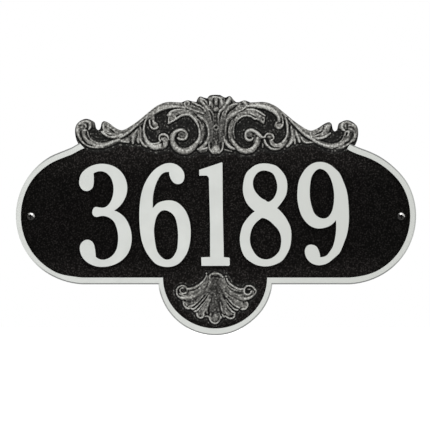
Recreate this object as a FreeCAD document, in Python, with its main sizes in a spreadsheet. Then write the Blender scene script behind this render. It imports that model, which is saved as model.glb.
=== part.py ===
import FreeCAD, Part
import math
import os

Vector = FreeCAD.Vector

os.makedirs("parts", exist_ok=True)
doc = FreeCAD.newDocument("house_number_plaque")

# Driving sizes, in millimetres and degrees
# The plaque hangs upright with its back on the plane Y = 0 and its face towards -Y
sizes = {
    "plateWidth": 393.8,
    "fieldThickness": 5.0,
    "borderWidth": 6.7,
    "borderRelief": 2.4,
    "edgeChamfer": 1.3,
    "lobeRadius": 56.6,
    "lobeCentreDrop": 60.3,
    "lobeShift": 0.6,
    "digitHeight": 101.6,
    "digitRelief": 2.6,
    "crestWidth": 278.4,
    "crestRelief": 4.6,
    "shellWidth": 76.2,
    "shellRelief": 3.8,
    "screwEdgeDistance": 14.4,
    "screwClearance": 0.5,
    "threadDiameter": 4.2,
    "neckDiameter": 3.2,
    "headDiameter": 8.2,
    "headHeight": 2.7,
    "headRim": 0.7,
    "recessWidth": 4.6,
    "recessWing": 1.2,
    "recessDepth": 1.7,
    "screwReach": 24.0,
    "pointLength": 5.0,
    "neckReveal": 0.6,
}

sheet = doc.addObject("Spreadsheet::Sheet", "sizes")
for row, (alias, value) in enumerate(sizes.items(), start=1):
    sheet.set(f"A{row}", alias)
    sheet.set(f"B{row}", str(value))
    sheet.setAlias(f"B{row}", alias)
doc.recompute()


def size(alias):
    return float(sheet.get(alias))


# Outlines are drawn on a squared grid: column to the right, row downwards
# The origin is half way between the two screws
axisColumn = 216.0
axisRow = 216.5
plateColumns = 400.2
digitRows = 103.2
crestColumns = 282.9
shellColumns = 77.5
platePitch = size("plateWidth") / plateColumns
digitPitch = size("digitHeight") / digitRows
crestPitch = size("crestWidth") / crestColumns
shellPitch = size("shellWidth") / shellColumns
digitAnchor = (216.0, 215.0)
crestAnchor = (216.0, 150.0)
shellAnchor = (215.5, 298.0)

fieldFace = size("fieldThickness")
borderFace = fieldFace + size("borderRelief")
headRadius = size("headDiameter") / 2
holeDiameter = size("threadDiameter") + size("screwClearance")
screwOffset = size("plateWidth") / 2 - size("screwEdgeDistance")


def gridPlace(column, row, anchor, pitch):
    # the anchor keeps its place on the plate, and the motif grows about it
    x = (anchor[0] - axisColumn) * platePitch + (column - anchor[0]) * pitch
    z = (axisRow - anchor[1]) * platePitch - (row - anchor[1]) * pitch
    return x, z


arcTolerance = 0.3
joinGap = 0.01
widestTurn = -0.2


def arcFrom(start, along, finish):
    # the arc that leaves start in the direction along and ends at finish
    normal = Vector(along.z, 0, -along.x)
    chord = finish - start
    offset = normal.dot(chord)
    if abs(offset) < 1e-4 * chord.Length:
        return Part.LineSegment(start, finish)
    centre = start + normal * (chord.dot(chord) / (2 * offset))
    bulge = ((start - centre) + (finish - centre)).normalize()
    return Part.Arc(start, centre + bulge * (start - centre).Length, finish)


def arcPair(start, along, finish, arriving):
    # two arcs that meet smoothly and match the directions at both ends
    chord = finish - start
    turned = 2 * (1 - along.dot(arriving))
    lean = chord.dot(along + arriving)
    if turned < 1e-9:
        reach = chord.dot(chord) / (2 * lean)
    else:
        reach = (math.sqrt(lean**2 + turned * chord.dot(chord)) - lean) / turned
    meeting = (start + finish + (along - arriving) * reach) * 0.5
    first = arcFrom(start, along, meeting)
    second = arcFrom(finish, arriving * -1, meeting)
    return [first, second]


def smoothSpan(points, closed=False):
    # arcs through the points, with the directions of a spline through the same points
    vectors = [Vector(x, 0, z) for x, z in points]
    curve = Part.BSplineCurve()
    curve.interpolate(vectors, PeriodicFlag=closed)
    directions = [curve.tangent(curve.parameter(point))[0] for point in vectors]
    if closed:
        vectors.append(vectors[0])
        directions.append(directions[0])
    curves = []
    first = 0
    while first < len(vectors) - 1:
        # the longest pair of arcs that still passes close to the points between
        for last in range(len(vectors) - 1, first, -1):
            if (vectors[last] - vectors[first]).Length < joinGap:
                continue
            if directions[first].dot(directions[last]) < widestTurn and last > first + 1:
                continue
            pair = arcPair(vectors[first], directions[first], vectors[last], directions[last])
            shape = Part.Compound([curve.toShape() for curve in pair])
            misses = [
                Part.Vertex(point).distToShape(shape)[0] for point in vectors[first + 1:last]
            ]
            if max(misses, default=0) < arcTolerance:
                break
        curves += pair
        first = last
    return curves


def joined(curves):
    return Part.Wire(Part.__sortEdges__([curve.toShape() for curve in curves]))


def closedOutline(spans, anchor, pitch):
    # each span starts where the last one ended, so corners lie between spans
    placed = [[gridPlace(c, r, anchor, pitch) for c, r in span] for span in spans]
    curves = []
    last = placed[-1][-1]
    for span in placed:
        if len(span) == 1:
            start = Vector(last[0], 0, last[1])
            curves.append(Part.LineSegment(start, Vector(span[0][0], 0, span[0][1])))
        else:
            curves += smoothSpan([last] + span)
        last = span[-1]
    return joined(curves)


def smoothLoop(points, anchor, pitch):
    placed = [gridPlace(column, row, anchor, pitch) for column, row in points]
    return joined(smoothSpan(placed, closed=True))


# Plate
# Right side from the crest down to the foot edge: columns from the axis, and rows
footRow = 284.4
sidePoints = [
    (134.3, 143.4),
    (146.0, 147.9),
    (161.4, 154.0),
    (184.5, 172.0),
    (195.2, 190.0),
    (200.1, 217.0),
    (191.2, 250.0),
    (176.0, 268.0),
    (155.0, 280.0),
    (134.0, footRow),
]
fieldTopRow = 136.0
# The border's flat face ends here in a slant, under the crest's outer curl
borderEnd = (137.6, 143.2)


def sideCurve(inset):
    # the right side, moved inwards by the inset
    placed = [(c * platePitch, (axisRow - r) * platePitch) for c, r in sidePoints]
    curve = Part.BSplineCurve()
    curve.interpolate([Vector(x, 0, z) for x, z in placed])
    moved = []
    for x, z in placed:
        along = curve.tangent(curve.parameter(Vector(x, 0, z)))[0]
        moved.append((x + along.z * inset, z - along.x * inset))
    return moved


def plateWire(inset, top):
    # right side, foot edge, round lobe, foot edge, left side, and across the top
    # top holds the corners of the right half above the side, as columns from the axis and rows
    right = sideCurve(inset)
    left = [(-x, z) for x, z in reversed(right)]
    footZ = right[-1][1]
    radius = size("lobeRadius") - inset
    centre = Vector(-size("lobeShift"), 0, -size("lobeCentreDrop"))
    reach = math.sqrt(radius**2 - (footZ - centre.z) ** 2)
    lobeRight = Vector(centre.x + reach, 0, footZ)
    lobeLeft = Vector(centre.x - reach, 0, footZ)
    lobeFoot = Vector(centre.x, 0, centre.z - radius)
    rightTop = Vector(right[0][0], 0, right[0][1])
    leftTop = Vector(left[-1][0], 0, left[-1][1])
    chain = smoothSpan(right) + smoothSpan(left)
    chain.append(Part.LineSegment(Vector(right[-1][0], 0, footZ), lobeRight))
    chain.append(Part.Arc(lobeRight, lobeFoot, lobeLeft))
    chain.append(Part.LineSegment(lobeLeft, Vector(left[0][0], 0, footZ)))
    corners = [Vector(c * platePitch, 0, (axisRow - r) * platePitch) for c, r in top]
    across = [Vector(-corner.x, 0, corner.z) for corner in corners]
    path = [rightTop] + corners + across[::-1] + [leftTop]
    chain += [Part.LineSegment(first, second) for first, second in zip(path, path[1:])]
    return joined(chain)


# Crest outline, left half, from the border up to the flower at the axis
crestOutline = [
    [(78.0, 143.6)],
    [(76.0, 138.0), (74.8, 130.0), (76.5, 124.0), (82.0, 119.8), (88.5, 119.2), (93.3, 122.0),
     (95.3, 126.5), (98.2, 129.8)],
    [(100.6, 128.9), (101.4, 124.5), (103.6, 121.2)],
    [(108.0, 122.5), (114.0, 126.9), (121.5, 130.0), (131.0, 125.8), (142.0, 117.6), (155.0, 107.1),
     (165.0, 102.6), (180.0, 102.8)],
    [(184.0, 101.2), (188.0, 100.3), (196.3, 102.0)],
    [(197.4, 99.2), (200.8, 96.6), (207.0, 98.2)],
    [(209.7, 96.0), (216.0, 95.1)],
]
crestFootColumn = 82.0
crestFootRow = 152.0


def mirroredSpans(spans, axis):
    # the same spans on the other side of the axis, walked back from the end
    points = [point for span in spans for point in span]
    breaks = []
    count = 0
    for span in spans:
        count += len(span)
        breaks.append(count - 1)
    other = []
    current = []
    for index in range(len(points) - 2, -1, -1):
        column, row = points[index]
        current.append((2 * axis - column, row))
        if index in breaks:
            other.append(current)
            current = []
    if current:
        other.append(current)
    return other


def crestWire():
    spans = crestOutline + mirroredSpans(crestOutline, axisColumn)
    foot = [[(2 * axisColumn - crestFootColumn, crestFootRow)], [(crestFootColumn, crestFootRow)]]
    return closedOutline(spans + foot, crestAnchor, crestPitch)


def originPlane(body, role):
    for feature in body.Origin.OriginFeatures:
        if feature.Role == role:
            return feature


def wireSketch(body, name, wires):
    # a sketch on the upright plane, whose own X and Y are the plaque's X and Z
    sketch = body.newObject("Sketcher::SketchObject", name)
    sketch.AttachmentSupport = [(originPlane(body, "XZ_Plane"), "")]
    sketch.MapMode = "FlatFace"
    doc.recompute()
    toSketch = sketch.Placement.inverse()
    for wire in wires:
        flat = wire.copy()
        flat.transformShape(toSketch.toMatrix())
        for edge in flat.Edges:
            curve = edge.Curve
            first, last = edge.ParameterRange
            if isinstance(curve, Part.Line):
                sketch.addGeometry(Part.LineSegment(curve.value(first), curve.value(last)))
            elif isinstance(curve, Part.Circle) and edge.isClosed():
                sketch.addGeometry(curve)
            elif isinstance(curve, Part.Circle):
                sketch.addGeometry(Part.ArcOfCircle(curve, first, last))
            else:
                sketch.addGeometry(curve)
    return sketch


def pad(body, name, sketch, length):
    feature = body.newObject("PartDesign::Pad", name)
    feature.Profile = sketch
    feature.setExpression("Length", length)
    doc.recompute()
    return feature


def pocket(body, name, sketch, length):
    feature = body.newObject("PartDesign::Pocket", name)
    feature.Profile = sketch
    feature.setExpression("Length", length)
    return feature


def dressFrontEdges(body, name, base, faceY, kind, alias):
    # the edges that lie on the front face, whose depth is faceY
    names = []
    for index, edge in enumerate(base.Shape.Edges, start=1):
        box = edge.BoundBox
        if abs(box.YMin + faceY) < 1e-4 and abs(box.YMax + faceY) < 1e-4:
            names.append(f"Edge{index}")
    feature = body.newObject(kind, name)
    feature.Base = (base, names)
    feature.setExpression("Size", alias)
    doc.recompute()
    return feature


plate = doc.addObject("PartDesign::Body", "plate")
blankSketch = wireSketch(plate, "blank_outline", [plateWire(0, [])])
blank = pad(plate, "blank", blankSketch, "sizes.fieldThickness + sizes.borderRelief")
softEdge = dressFrontEdges(
    plate, "border_chamfer", blank, borderFace, "PartDesign::Chamfer", "sizes.edgeChamfer"
)

# The field is sunk inside the border and runs out under the crest
fieldCorners = [borderEnd, (borderEnd[0], fieldTopRow)]
fieldSketch = wireSketch(
    plate, "field_outline", [plateWire(size("borderWidth"), fieldCorners)]
)
fieldSketch.AttachmentOffset = FreeCAD.Placement(Vector(0, 0, borderFace), FreeCAD.Rotation())
field = pocket(plate, "field", fieldSketch, "sizes.borderRelief")
doc.recompute()

crestSketch = wireSketch(plate, "crest_outline", [crestWire()])
crestBack = pad(plate, "crest_backing", crestSketch, "sizes.fieldThickness")

holeWires = []
for side in (-1, 1):
    centre = Vector(side * screwOffset, 0, 0)
    circle = Part.Circle(centre, Vector(0, 1, 0), holeDiameter / 2)
    holeWires.append(Part.Wire([circle.toShape()]))
holeSketch = wireSketch(plate, "screw_holes", holeWires)
holes = pocket(plate, "screw_hole_pair", holeSketch, "sizes.fieldThickness * 2")
holes.Midplane = True
doc.recompute()

# Digits
# A loop of spans has a corner where two spans meet, and a plain list of points is smooth all round
digitOutlines = {
    "digit_three": [
        [
            [(122.2, 215.0), (128.5, 223.1), (131.8, 238.0), (130.0, 249.4), (125.2, 257.1),
             (115.7, 264.0), (101.5, 266.9), (90.8, 264.6), (83.1, 258.1), (79.8, 248.0),
             (81.7, 241.7), (87.5, 239.5), (92.6, 242.4), (95.3, 249.4), (95.9, 256.8)],
            [(101.5, 259.5), (108.4, 258.3), (114.6, 253.0), (118.2, 239.1), (116.8, 227.4),
             (112.0, 219.3), (105.4, 216.2), (101.0, 216.1), (97.0, 217.1), (92.9, 214.9),
             (92.0, 211.7), (93.3, 208.2), (96.8, 206.8), (101.8, 207.7), (107.3, 205.9),
             (111.6, 199.7), (113.5, 190.0), (111.9, 179.9), (106.9, 173.0), (100.3, 171.2),
             (93.6, 173.5)],
            [(94.1, 180.5), (92.6, 187.2), (87.2, 191.0), (81.3, 188.3), (79.0, 181.5),
             (82.8, 171.9), (91.5, 165.9), (101.5, 163.7), (112.7, 165.9), (120.8, 171.5),
             (126.0, 180.0), (127.2, 188.5), (125.2, 197.8), (121.2, 204.5), (114.4, 210.5)],
        ],
    ],
    "digit_six": [
        [
            [(152.6, 200.0), (155.6, 185.1), (160.0, 176.3), (164.0, 172.8), (169.1, 172.0)],
            [(170.2, 178.1), (173.9, 182.9), (178.5, 184.4), (182.6, 182.5), (184.4, 176.8),
             (183.0, 170.8), (178.6, 165.7), (170.2, 163.2), (158.5, 166.4), (150.1, 174.5),
             (143.5, 186.5), (139.5, 201.9), (138.8, 218.0), (140.6, 236.2), (145.4, 250.5),
             (152.7, 260.7), (161.4, 266.1), (170.9, 266.7), (180.5, 262.6), (187.4, 253.0),
             (190.9, 240.0), (190.7, 225.3), (186.7, 212.8), (179.7, 204.1), (168.5, 199.8),
             (158.5, 202.6), (152.5, 208.1)],
        ],
        [(166.0, 210.4), (172.3, 214.0), (176.8, 223.5), (178.1, 235.5), (176.6, 249.0),
         (172.4, 257.4), (166.8, 259.6), (160.7, 256.0), (156.0, 245.4), (154.1, 230.5),
         (156.0, 217.8), (160.5, 211.6)],
    ],
    "digit_one": [
        [
            [(223.0, 209.1)],
            [(224.1, 256.8)],
            [(229.2, 257.2)],
            [(230.1, 258.4)],
            [(230.0, 264.8)],
            [(228.9, 265.9)],
            [(201.4, 265.9)],
            [(201.0, 257.3)],
            [(209.9, 256.9)],
            [(209.5, 223.8)],
            [(208.9, 179.0)],
            [(208.2, 176.8), (205.9, 175.8)],
            [(199.1, 175.8)],
            [(198.9, 170.0)],
            [(221.8, 162.4)],
            [(222.5, 163.0)],
        ],
    ],
    "digit_eight": [
        [
            [(280.4, 204.3), (285.1, 197.5), (287.9, 186.5), (285.5, 176.3), (277.5, 167.5),
             (264.5, 163.1), (251.9, 167.1), (244.9, 175.2), (242.6, 186.5), (244.2, 198.2),
             (248.6, 206.0), (254.7, 211.6)],
            [(247.5, 217.9), (241.3, 227.4), (239.7, 240.0), (244.2, 253.8), (253.4, 263.3),
             (265.0, 266.4), (276.7, 263.6), (286.2, 255.2), (291.0, 244.0), (291.5, 230.4),
             (287.7, 219.4), (277.1, 208.1)],
        ],
        [
            [(273.4, 198.3), (276.9, 190.2), (277.1, 184.5), (273.1, 175.2), (264.3, 170.5),
             (256.3, 173.7), (253.2, 183.5), (256.3, 193.1), (263.0, 199.2), (269.1, 202.2)],
        ],
        [
            [(270.5, 221.3), (277.0, 227.2), (280.8, 236.2), (280.6, 245.5), (275.8, 255.0),
             (264.5, 259.3), (255.5, 254.1), (250.6, 242.5), (251.5, 229.6), (256.5, 222.0),
             (263.6, 217.4)],
        ],
    ],
    "digit_nine": [
        [
            [(336.3, 228.0), (333.3, 245.0), (327.0, 254.4), (320.2, 257.1)],
            [(319.0, 251.4), (315.8, 246.2), (311.2, 244.1), (306.6, 245.8), (304.8, 251.0),
             (307.2, 258.9), (312.6, 263.7), (320.0, 265.2), (330.2, 261.1), (339.7, 250.1),
             (346.3, 236.2), (349.3, 218.7), (348.6, 200.0), (344.6, 183.3), (338.2, 171.5),
             (328.7, 164.0), (319.2, 161.7), (310.5, 164.6), (302.4, 173.0), (297.7, 185.0),
             (297.2, 198.9), (300.6, 212.8), (307.2, 223.4), (318.5, 228.9), (329.5, 226.0),
             (335.9, 220.1)],
        ],
        [(320.7, 168.9), (326.5, 171.9), (331.2, 180.0), (334.0, 195.5), (332.6, 209.0),
         (328.3, 217.0), (322.9, 218.5), (316.3, 215.0), (311.2, 203.3), (310.0, 188.7),
         (312.4, 175.2), (315.8, 170.7)],
    ],
}
# how deep the raised work is rooted in the plate
rootEmbed = 1.2
rootDepth = fieldFace - rootEmbed


def loopFace(loop, anchor, pitch):
    if isinstance(loop[0], tuple):
        return Part.Face(smoothLoop(loop, anchor, pitch))
    return Part.Face(closedOutline(loop, anchor, pitch))


def raisedDigit(name):
    outer, *counters = digitOutlines[name]
    face = loopFace(outer, digitAnchor, digitPitch)
    for counter in counters:
        face = face.cut(loopFace(counter, digitAnchor, digitPitch))
    drawing = doc.addObject("Part::Feature", name + "_outline")
    drawing.Shape = face
    drawing.Placement = FreeCAD.Placement(Vector(0, -rootDepth, 0), FreeCAD.Rotation())
    raised = doc.addObject("Part::Extrusion", name)
    raised.Base = drawing
    raised.DirMode = "Custom"
    raised.Dir = Vector(0, -1, 0)
    raised.Solid = True
    raised.setExpression("LengthFwd", f"sizes.digitRelief + {rootEmbed}")
    return raised


digits = [raisedDigit(name) for name in digitOutlines]

# Carved ridges: stations of column, row and half width along each stroke, after its rise
# The rise is a share of the motif's relief
crestRidges = {
    "hook": (0.8, [
        (90.6, 128.5, 1.6), (87.8, 123.2, 2.8), (82.3, 123.0, 3.4), (79.6, 128.5, 4.2),
        (82.0, 135.5, 4.6), (87.5, 141.0, 4.0), (94.0, 144.6, 3.2), (101.0, 145.2, 2.9),
        (108.0, 143.3, 2.8), (115.0, 140.0, 2.2), (121.0, 136.5, 1.2),
    ]),
    "leaf_tip": (0.65, [
        (103.2, 122.6, 0.9), (105.0, 127.6, 2.9), (109.5, 131.2, 3.9), (116.0, 133.6, 3.5),
        (123.0, 133.0, 2.4),
    ]),
    "band": (0.85, [
        (118.0, 135.6, 2.2), (124.0, 133.9, 3.3), (131.0, 130.4, 3.9), (138.5, 125.2, 4.1),
        (146.0, 119.2, 3.9), (154.0, 112.7, 3.5), (162.0, 107.8, 3.1), (170.0, 105.4, 2.8),
        (178.0, 105.2, 2.3), (184.0, 106.0, 1.2),
    ]),
    "lobe_one": (0.5, [(126.5, 134.0, 2.0), (124.6, 138.0, 2.1), (123.2, 142.0, 0.8)]),
    "lobe_two": (0.5, [(131.5, 132.0, 2.0), (129.6, 137.5, 2.2), (128.1, 142.6, 0.8)]),
    "lobe_three": (0.5, [(136.5, 130.0, 2.1), (134.5, 137.0, 2.2), (132.9, 143.0, 0.8)]),
    "lobe_four": (0.5, [(140.5, 128.0, 2.1), (139.4, 136.0, 2.2), (138.2, 142.6, 0.8)]),
    "lobe_five": (0.45, [(143.0, 134.0, 1.6), (143.5, 140.5, 1.9), (144.6, 146.0, 0.8)]),
    "inner_scroll": (0.75, [
        (147.0, 119.5, 1.4), (144.9, 125.5, 1.9), (144.8, 132.5, 2.0), (147.0, 139.8, 2.5),
        (151.5, 145.4, 3.3), (157.2, 146.4, 3.4), (162.3, 144.6, 3.0), (165.9, 141.0, 2.3),
        (166.6, 136.8, 1.8), (163.4, 134.9, 1.5), (160.6, 137.0, 1.3),
    ]),
    "comma": (0.6, [
        (151.8, 116.0, 1.5), (151.2, 121.2, 1.9), (152.7, 126.0, 2.2), (156.0, 127.0, 1.8),
        (157.6, 124.2, 1.1),
    ]),
    "great_scroll": (0.95, [
        (168.4, 119.6, 1.5), (171.4, 115.6, 2.9), (177.0, 112.9, 3.5), (183.0, 112.1, 3.3),
        (188.2, 113.2, 2.8), (192.7, 116.6, 2.3), (196.4, 121.8, 1.9), (198.6, 128.0, 1.6),
        (198.8, 134.0, 1.7), (197.0, 140.2, 2.1), (193.5, 146.0, 2.7), (188.4, 150.0, 3.1),
        (182.8, 150.8, 3.2), (177.4, 147.8, 3.0), (174.0, 142.6, 2.9), (173.7, 136.6, 2.6),
        (176.2, 131.9, 2.2), (180.6, 129.9, 1.9), (184.8, 131.3, 1.8), (186.5, 134.8, 1.6),
        (184.6, 138.2, 1.4), (181.4, 139.0, 1.0),
    ]),
    "second_band": (0.8, [
        (190.5, 110.3, 0.9), (196.3, 113.2, 1.7), (201.8, 117.4, 2.2), (205.3, 123.8, 2.3),
        (206.5, 131.6, 2.2), (205.6, 139.2, 2.2), (203.0, 145.3, 2.1), (199.4, 149.2, 1.5),
    ]),
    "small_curl": (0.7, [
        (187.6, 102.6, 1.2), (185.4, 103.6, 1.7), (186.0, 106.4, 1.7), (189.5, 108.8, 1.5),
        (194.0, 110.4, 1.0),
    ]),
    "side_leaf": (0.6, [
        (189.6, 104.6, 1.2), (194.5, 106.6, 2.1), (200.0, 110.6, 2.2), (205.4, 115.0, 1.2),
    ]),
    "bud_leaf": (0.7, [
        (200.9, 98.4, 1.3), (202.7, 102.3, 2.5), (205.6, 107.0, 2.2), (209.0, 111.6, 1.1),
    ]),
    "stem": (0.6, [
        (207.0, 108.4, 0.9), (211.0, 113.0, 1.6), (213.4, 119.0, 1.6), (214.2, 126.0, 1.0),
    ]),
    "petal": (0.8, [(213.6, 103.6, 0.9), (211.8, 100.8, 1.7), (210.9, 97.8, 0.9)]),
    "collar": (0.7, [(208.6, 140.8, 0.9), (210.8, 144.6, 1.7), (212.6, 148.0, 1.0)]),
}
crestAxisRidges = {
    "middle_petal": (0.85, [(216.0, 105.4, 0.9), (216.0, 101.0, 1.9), (216.0, 96.6, 0.9)]),
    "axis_leaf": (0.45, [
        (216.0, 110.5, 2.4), (216.0, 119.0, 3.2), (216.0, 130.0, 5.6), (216.0, 140.0, 6.4),
        (216.0, 146.0, 4.2),
    ]),
}
shellRidges = {
    "volute": (0.75, [
        (206.0, 288.5, 1.3), (198.0, 293.6, 2.7), (189.0, 297.3, 3.0), (181.2, 297.0, 2.5),
        (177.6, 292.0, 1.8), (180.2, 287.8, 1.5), (184.4, 288.8, 1.3), (184.6, 292.4, 0.9),
    ]),
    "shoulder": (0.6, [
        (206.6, 277.6, 1.0), (203.0, 283.0, 1.8), (197.6, 287.0, 1.9), (190.0, 289.6, 1.1),
    ]),
    "outer_rib": (0.7, [
        (208.5, 290.5, 1.1), (199.0, 298.6, 2.7), (191.0, 303.8, 3.6), (186.0, 306.0, 2.4),
    ]),
    "narrow_rib": (0.6, [(210.5, 292.0, 1.0), (203.0, 303.0, 2.3), (196.2, 311.6, 1.6)]),
    "inner_rib": (0.8, [
        (212.3, 292.0, 1.0), (207.0, 304.5, 2.6), (201.8, 314.0, 3.2), (199.8, 317.6, 2.0),
    ]),
    "fine_rib": (0.6, [(213.9, 292.0, 0.8), (210.6, 307.0, 1.5), (207.6, 318.0, 1.1)]),
    "hinge_curl": (0.7, [
        (204.8, 277.6, 0.9), (206.8, 275.4, 1.3), (211.0, 274.3, 1.4), (215.5, 273.8, 1.4),
    ]),
}
shellAxisRidges = {
    "middle_rib": (1.0, [
        (215.5, 287.0, 1.4), (215.5, 304.0, 3.1), (215.5, 316.0, 4.6), (215.5, 322.6, 2.8),
    ]),
    "hinge": (0.5, [(215.5, 276.0, 5.0), (215.5, 282.0, 7.0), (215.5, 289.0, 5.4)]),
}
slenderShare = 0.55
rootStep = 0.03


def carvedRidge(rise, stations, anchor, pitch, relief, root):
    # a three-sided section with its crown along the middle, swept along the stroke
    places = [gridPlace(column, row, anchor, pitch) for column, row, half in stations]
    halves = [half * pitch for column, row, half in stations]
    middles = [Vector(x, 0, z) for x, z in places]
    path = Part.BSplineCurve()
    path.interpolate(middles)
    sections = []
    for middle, half in zip(middles, halves):
        along = path.tangent(path.parameter(middle))[0]
        height = rise * relief * (slenderShare + (1 - slenderShare) * half / max(halves))
        # the sides run on at the same slope down to the root, inside the plate
        spread = half * (1 + (fieldFace - root) / height)
        across = Vector(along.z, 0, -along.x) * spread
        crown = Vector(0, -fieldFace - height, 0)
        buried = Vector(0, -root, 0)
        corners = [middle - across + buried, middle + crown, middle + across + buried]
        sections.append(Part.makePolygon(corners + corners[:1]))
    return Part.makeLoft(sections, True, True)


def carvedMotif(motif, ridges, axisRidges, anchor, pitch, relief):
    # the ridges of one half, the same ridges mirrored, and those on the motif's own axis
    axisX = gridPlace(anchor[0], anchor[1], anchor, pitch)[0]
    pieces = []
    for index, (name, (rise, stations)) in enumerate({**ridges, **axisRidges}.items()):
        root = rootDepth + index * rootStep
        ridge = doc.addObject("Part::Feature", f"{motif}_{name}")
        ridge.Shape = carvedRidge(rise, stations, anchor, pitch, relief, root)
        pieces.append(ridge)
        if name in ridges:
            other = doc.addObject("Part::Mirroring", f"{motif}_{name}_mirrored")
            other.Source = ridge
            other.Base = Vector(axisX, 0, 0)
            other.Normal = Vector(1, 0, 0)
            pieces.append(other)
    return pieces


crest = carvedMotif(
    "crest", crestRidges, crestAxisRidges, crestAnchor, crestPitch, size("crestRelief")
)
shell = carvedMotif(
    "shell", shellRidges, shellAxisRidges, shellAnchor, shellPitch, size("shellRelief")
)

# The ball at the crest's foot: its column and row, and its radius as a share of the relief
ballPlace = (216.0, 148.9)
ballShare = 0.98
ballX, ballZ = gridPlace(*ballPlace, crestAnchor, crestPitch)
ball = doc.addObject("Part::Sphere", "crest_ball")
ball.Placement = FreeCAD.Placement(Vector(ballX, -fieldFace, ballZ), FreeCAD.Rotation())
ball.setExpression("Radius", f"sizes.crestRelief * {ballShare}")
ball.setExpression("Placement.Base.y", "-sizes.fieldThickness")

# The casting is one piece: plate, digits, crest and shell
plaque = doc.addObject("Part::MultiFuse", "plaque")
plaque.Shapes = [plate, ball] + digits + crest + shell


# Mounting screws
def screwProfile():
    # half section: radius to the right, and the screw's length along the plaque's depth
    seat = -fieldFace
    top = seat - size("headHeight")
    rim = seat - size("headRim")
    neckRadius = size("neckDiameter") / 2
    threadRadius = size("threadDiameter") / 2
    neckEnd = size("neckReveal")
    reach = size("screwReach")
    corners = [
        (headRadius, rim),
        (headRadius, seat),
        (neckRadius, seat),
        (neckRadius, neckEnd),
        (threadRadius, neckEnd + threadRadius - neckRadius),
        (threadRadius, reach - size("pointLength")),
        (0, reach),
        (0, top),
    ]
    vectors = [Vector(x, y, 0) for x, y in corners]
    lines = [Part.LineSegment(a, b) for a, b in zip(vectors, vectors[1:])]
    crownRadius = (headRadius**2 + (rim - top) ** 2) / (2 * (rim - top))
    lean = math.asin(headRadius / crownRadius) / 2
    middle = Vector(crownRadius * math.sin(lean), top + crownRadius * (1 - math.cos(lean)), 0)
    return [Part.Arc(vectors[-1], middle, vectors[0])] + lines


def crossWire(y):
    # the outline of a cross recess, four wings about the screw's axis
    wide = size("recessWidth") / 2
    wing = size("recessWing") / 2
    quarter = [(wide, -wing), (wide, wing), (wing, wing)]
    corners = []
    for turn in range(4):
        angle = math.radians(90 * turn)
        for x, z in quarter:
            turnedX = x * math.cos(angle) - z * math.sin(angle)
            turnedZ = x * math.sin(angle) + z * math.cos(angle)
            corners.append(Vector(turnedX, y, turnedZ))
    return Part.makePolygon(corners + corners[:1])


def mountingScrew(name, offset):
    screw = doc.addObject("PartDesign::Body", name)
    profile = screw.newObject("Sketcher::SketchObject", name + "_profile")
    profile.AttachmentSupport = [(originPlane(screw, "XY_Plane"), "")]
    profile.MapMode = "FlatFace"
    profile.addGeometry(screwProfile())
    turned = screw.newObject("PartDesign::Revolution", name + "_turned")
    turned.Profile = profile
    turned.ReferenceAxis = (profile, ["V_Axis"])
    turned.Angle = 360
    doc.recompute()
    cross = wireSketch(screw, name + "_cross", [crossWire(0)])
    cross.setExpression("AttachmentOffset.Base.z", "sizes.fieldThickness + sizes.headHeight")
    pocket(screw, name + "_recess", cross, "sizes.recessDepth")
    screw.setExpression("Placement.Base.x", offset)
    return screw


screwLeft = mountingScrew("screw_left", "sizes.screwEdgeDistance - sizes.plateWidth / 2")
screwRight = mountingScrew("screw_right", "sizes.plateWidth / 2 - sizes.screwEdgeDistance")
doc.recompute()

nodes = {"plaque": plaque, "screw_left": screwLeft, "screw_right": screwRight}
for name, node in nodes.items():
    node.Label = name
for item in doc.Objects:
    if "Invalid" in item.State or "Error" in item.State:
        raise RuntimeError(f"{item.Name} failed: {item.State}")
for name, node in nodes.items():
    shape = node.Shape
    if shape.isNull() or not shape.isValid() or len(shape.Solids) != 1:
        raise RuntimeError(f"{name} is not one valid solid")
    shape.exportStep(f"parts/{name}.step")
    print(name, "volume", round(shape.Volume), "mm3")
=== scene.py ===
import math

import bmesh
import bpy
import numpy as np
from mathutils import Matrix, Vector


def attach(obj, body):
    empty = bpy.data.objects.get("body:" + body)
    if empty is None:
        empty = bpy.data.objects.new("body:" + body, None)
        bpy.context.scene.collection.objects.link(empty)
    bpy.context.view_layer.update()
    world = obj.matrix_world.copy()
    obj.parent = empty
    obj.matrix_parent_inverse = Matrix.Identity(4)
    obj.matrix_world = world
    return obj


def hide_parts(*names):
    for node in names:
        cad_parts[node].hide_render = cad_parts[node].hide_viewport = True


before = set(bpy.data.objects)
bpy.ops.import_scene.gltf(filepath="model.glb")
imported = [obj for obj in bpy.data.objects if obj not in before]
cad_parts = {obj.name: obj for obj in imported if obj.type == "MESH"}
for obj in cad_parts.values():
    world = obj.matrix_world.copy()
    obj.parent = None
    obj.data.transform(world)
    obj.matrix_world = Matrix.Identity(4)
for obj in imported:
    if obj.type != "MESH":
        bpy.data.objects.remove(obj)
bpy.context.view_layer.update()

# The carving is drawn on the same squared grid as the casting: column to the right, row downwards
drawing = {
    "pitch": 0.000984,
    "axisColumn": 216.0,
    "axisRow": 216.5,
    "fieldY": -0.005,
    "borderY": -0.0074,
    "skinY": -0.00503,
}


def toX(column):
    return (column - drawing["axisColumn"]) * drawing["pitch"]


def toZ(row):
    return (drawing["axisRow"] - row) * drawing["pitch"]


def toColumn(x):
    return x / drawing["pitch"] + drawing["axisColumn"]


def toRow(z):
    return drawing["axisRow"] - z / drawing["pitch"]


def newMaterial(name):
    material = bpy.data.materials.new(name)
    material.use_nodes = True
    tree = material.node_tree
    return material, tree, tree.nodes["Principled BSDF"]


def addNode(tree, kind, place, **values):
    node = tree.nodes.new(kind)
    node.location = place
    for key, value in values.items():
        setattr(node, key, value)
    return node


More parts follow.
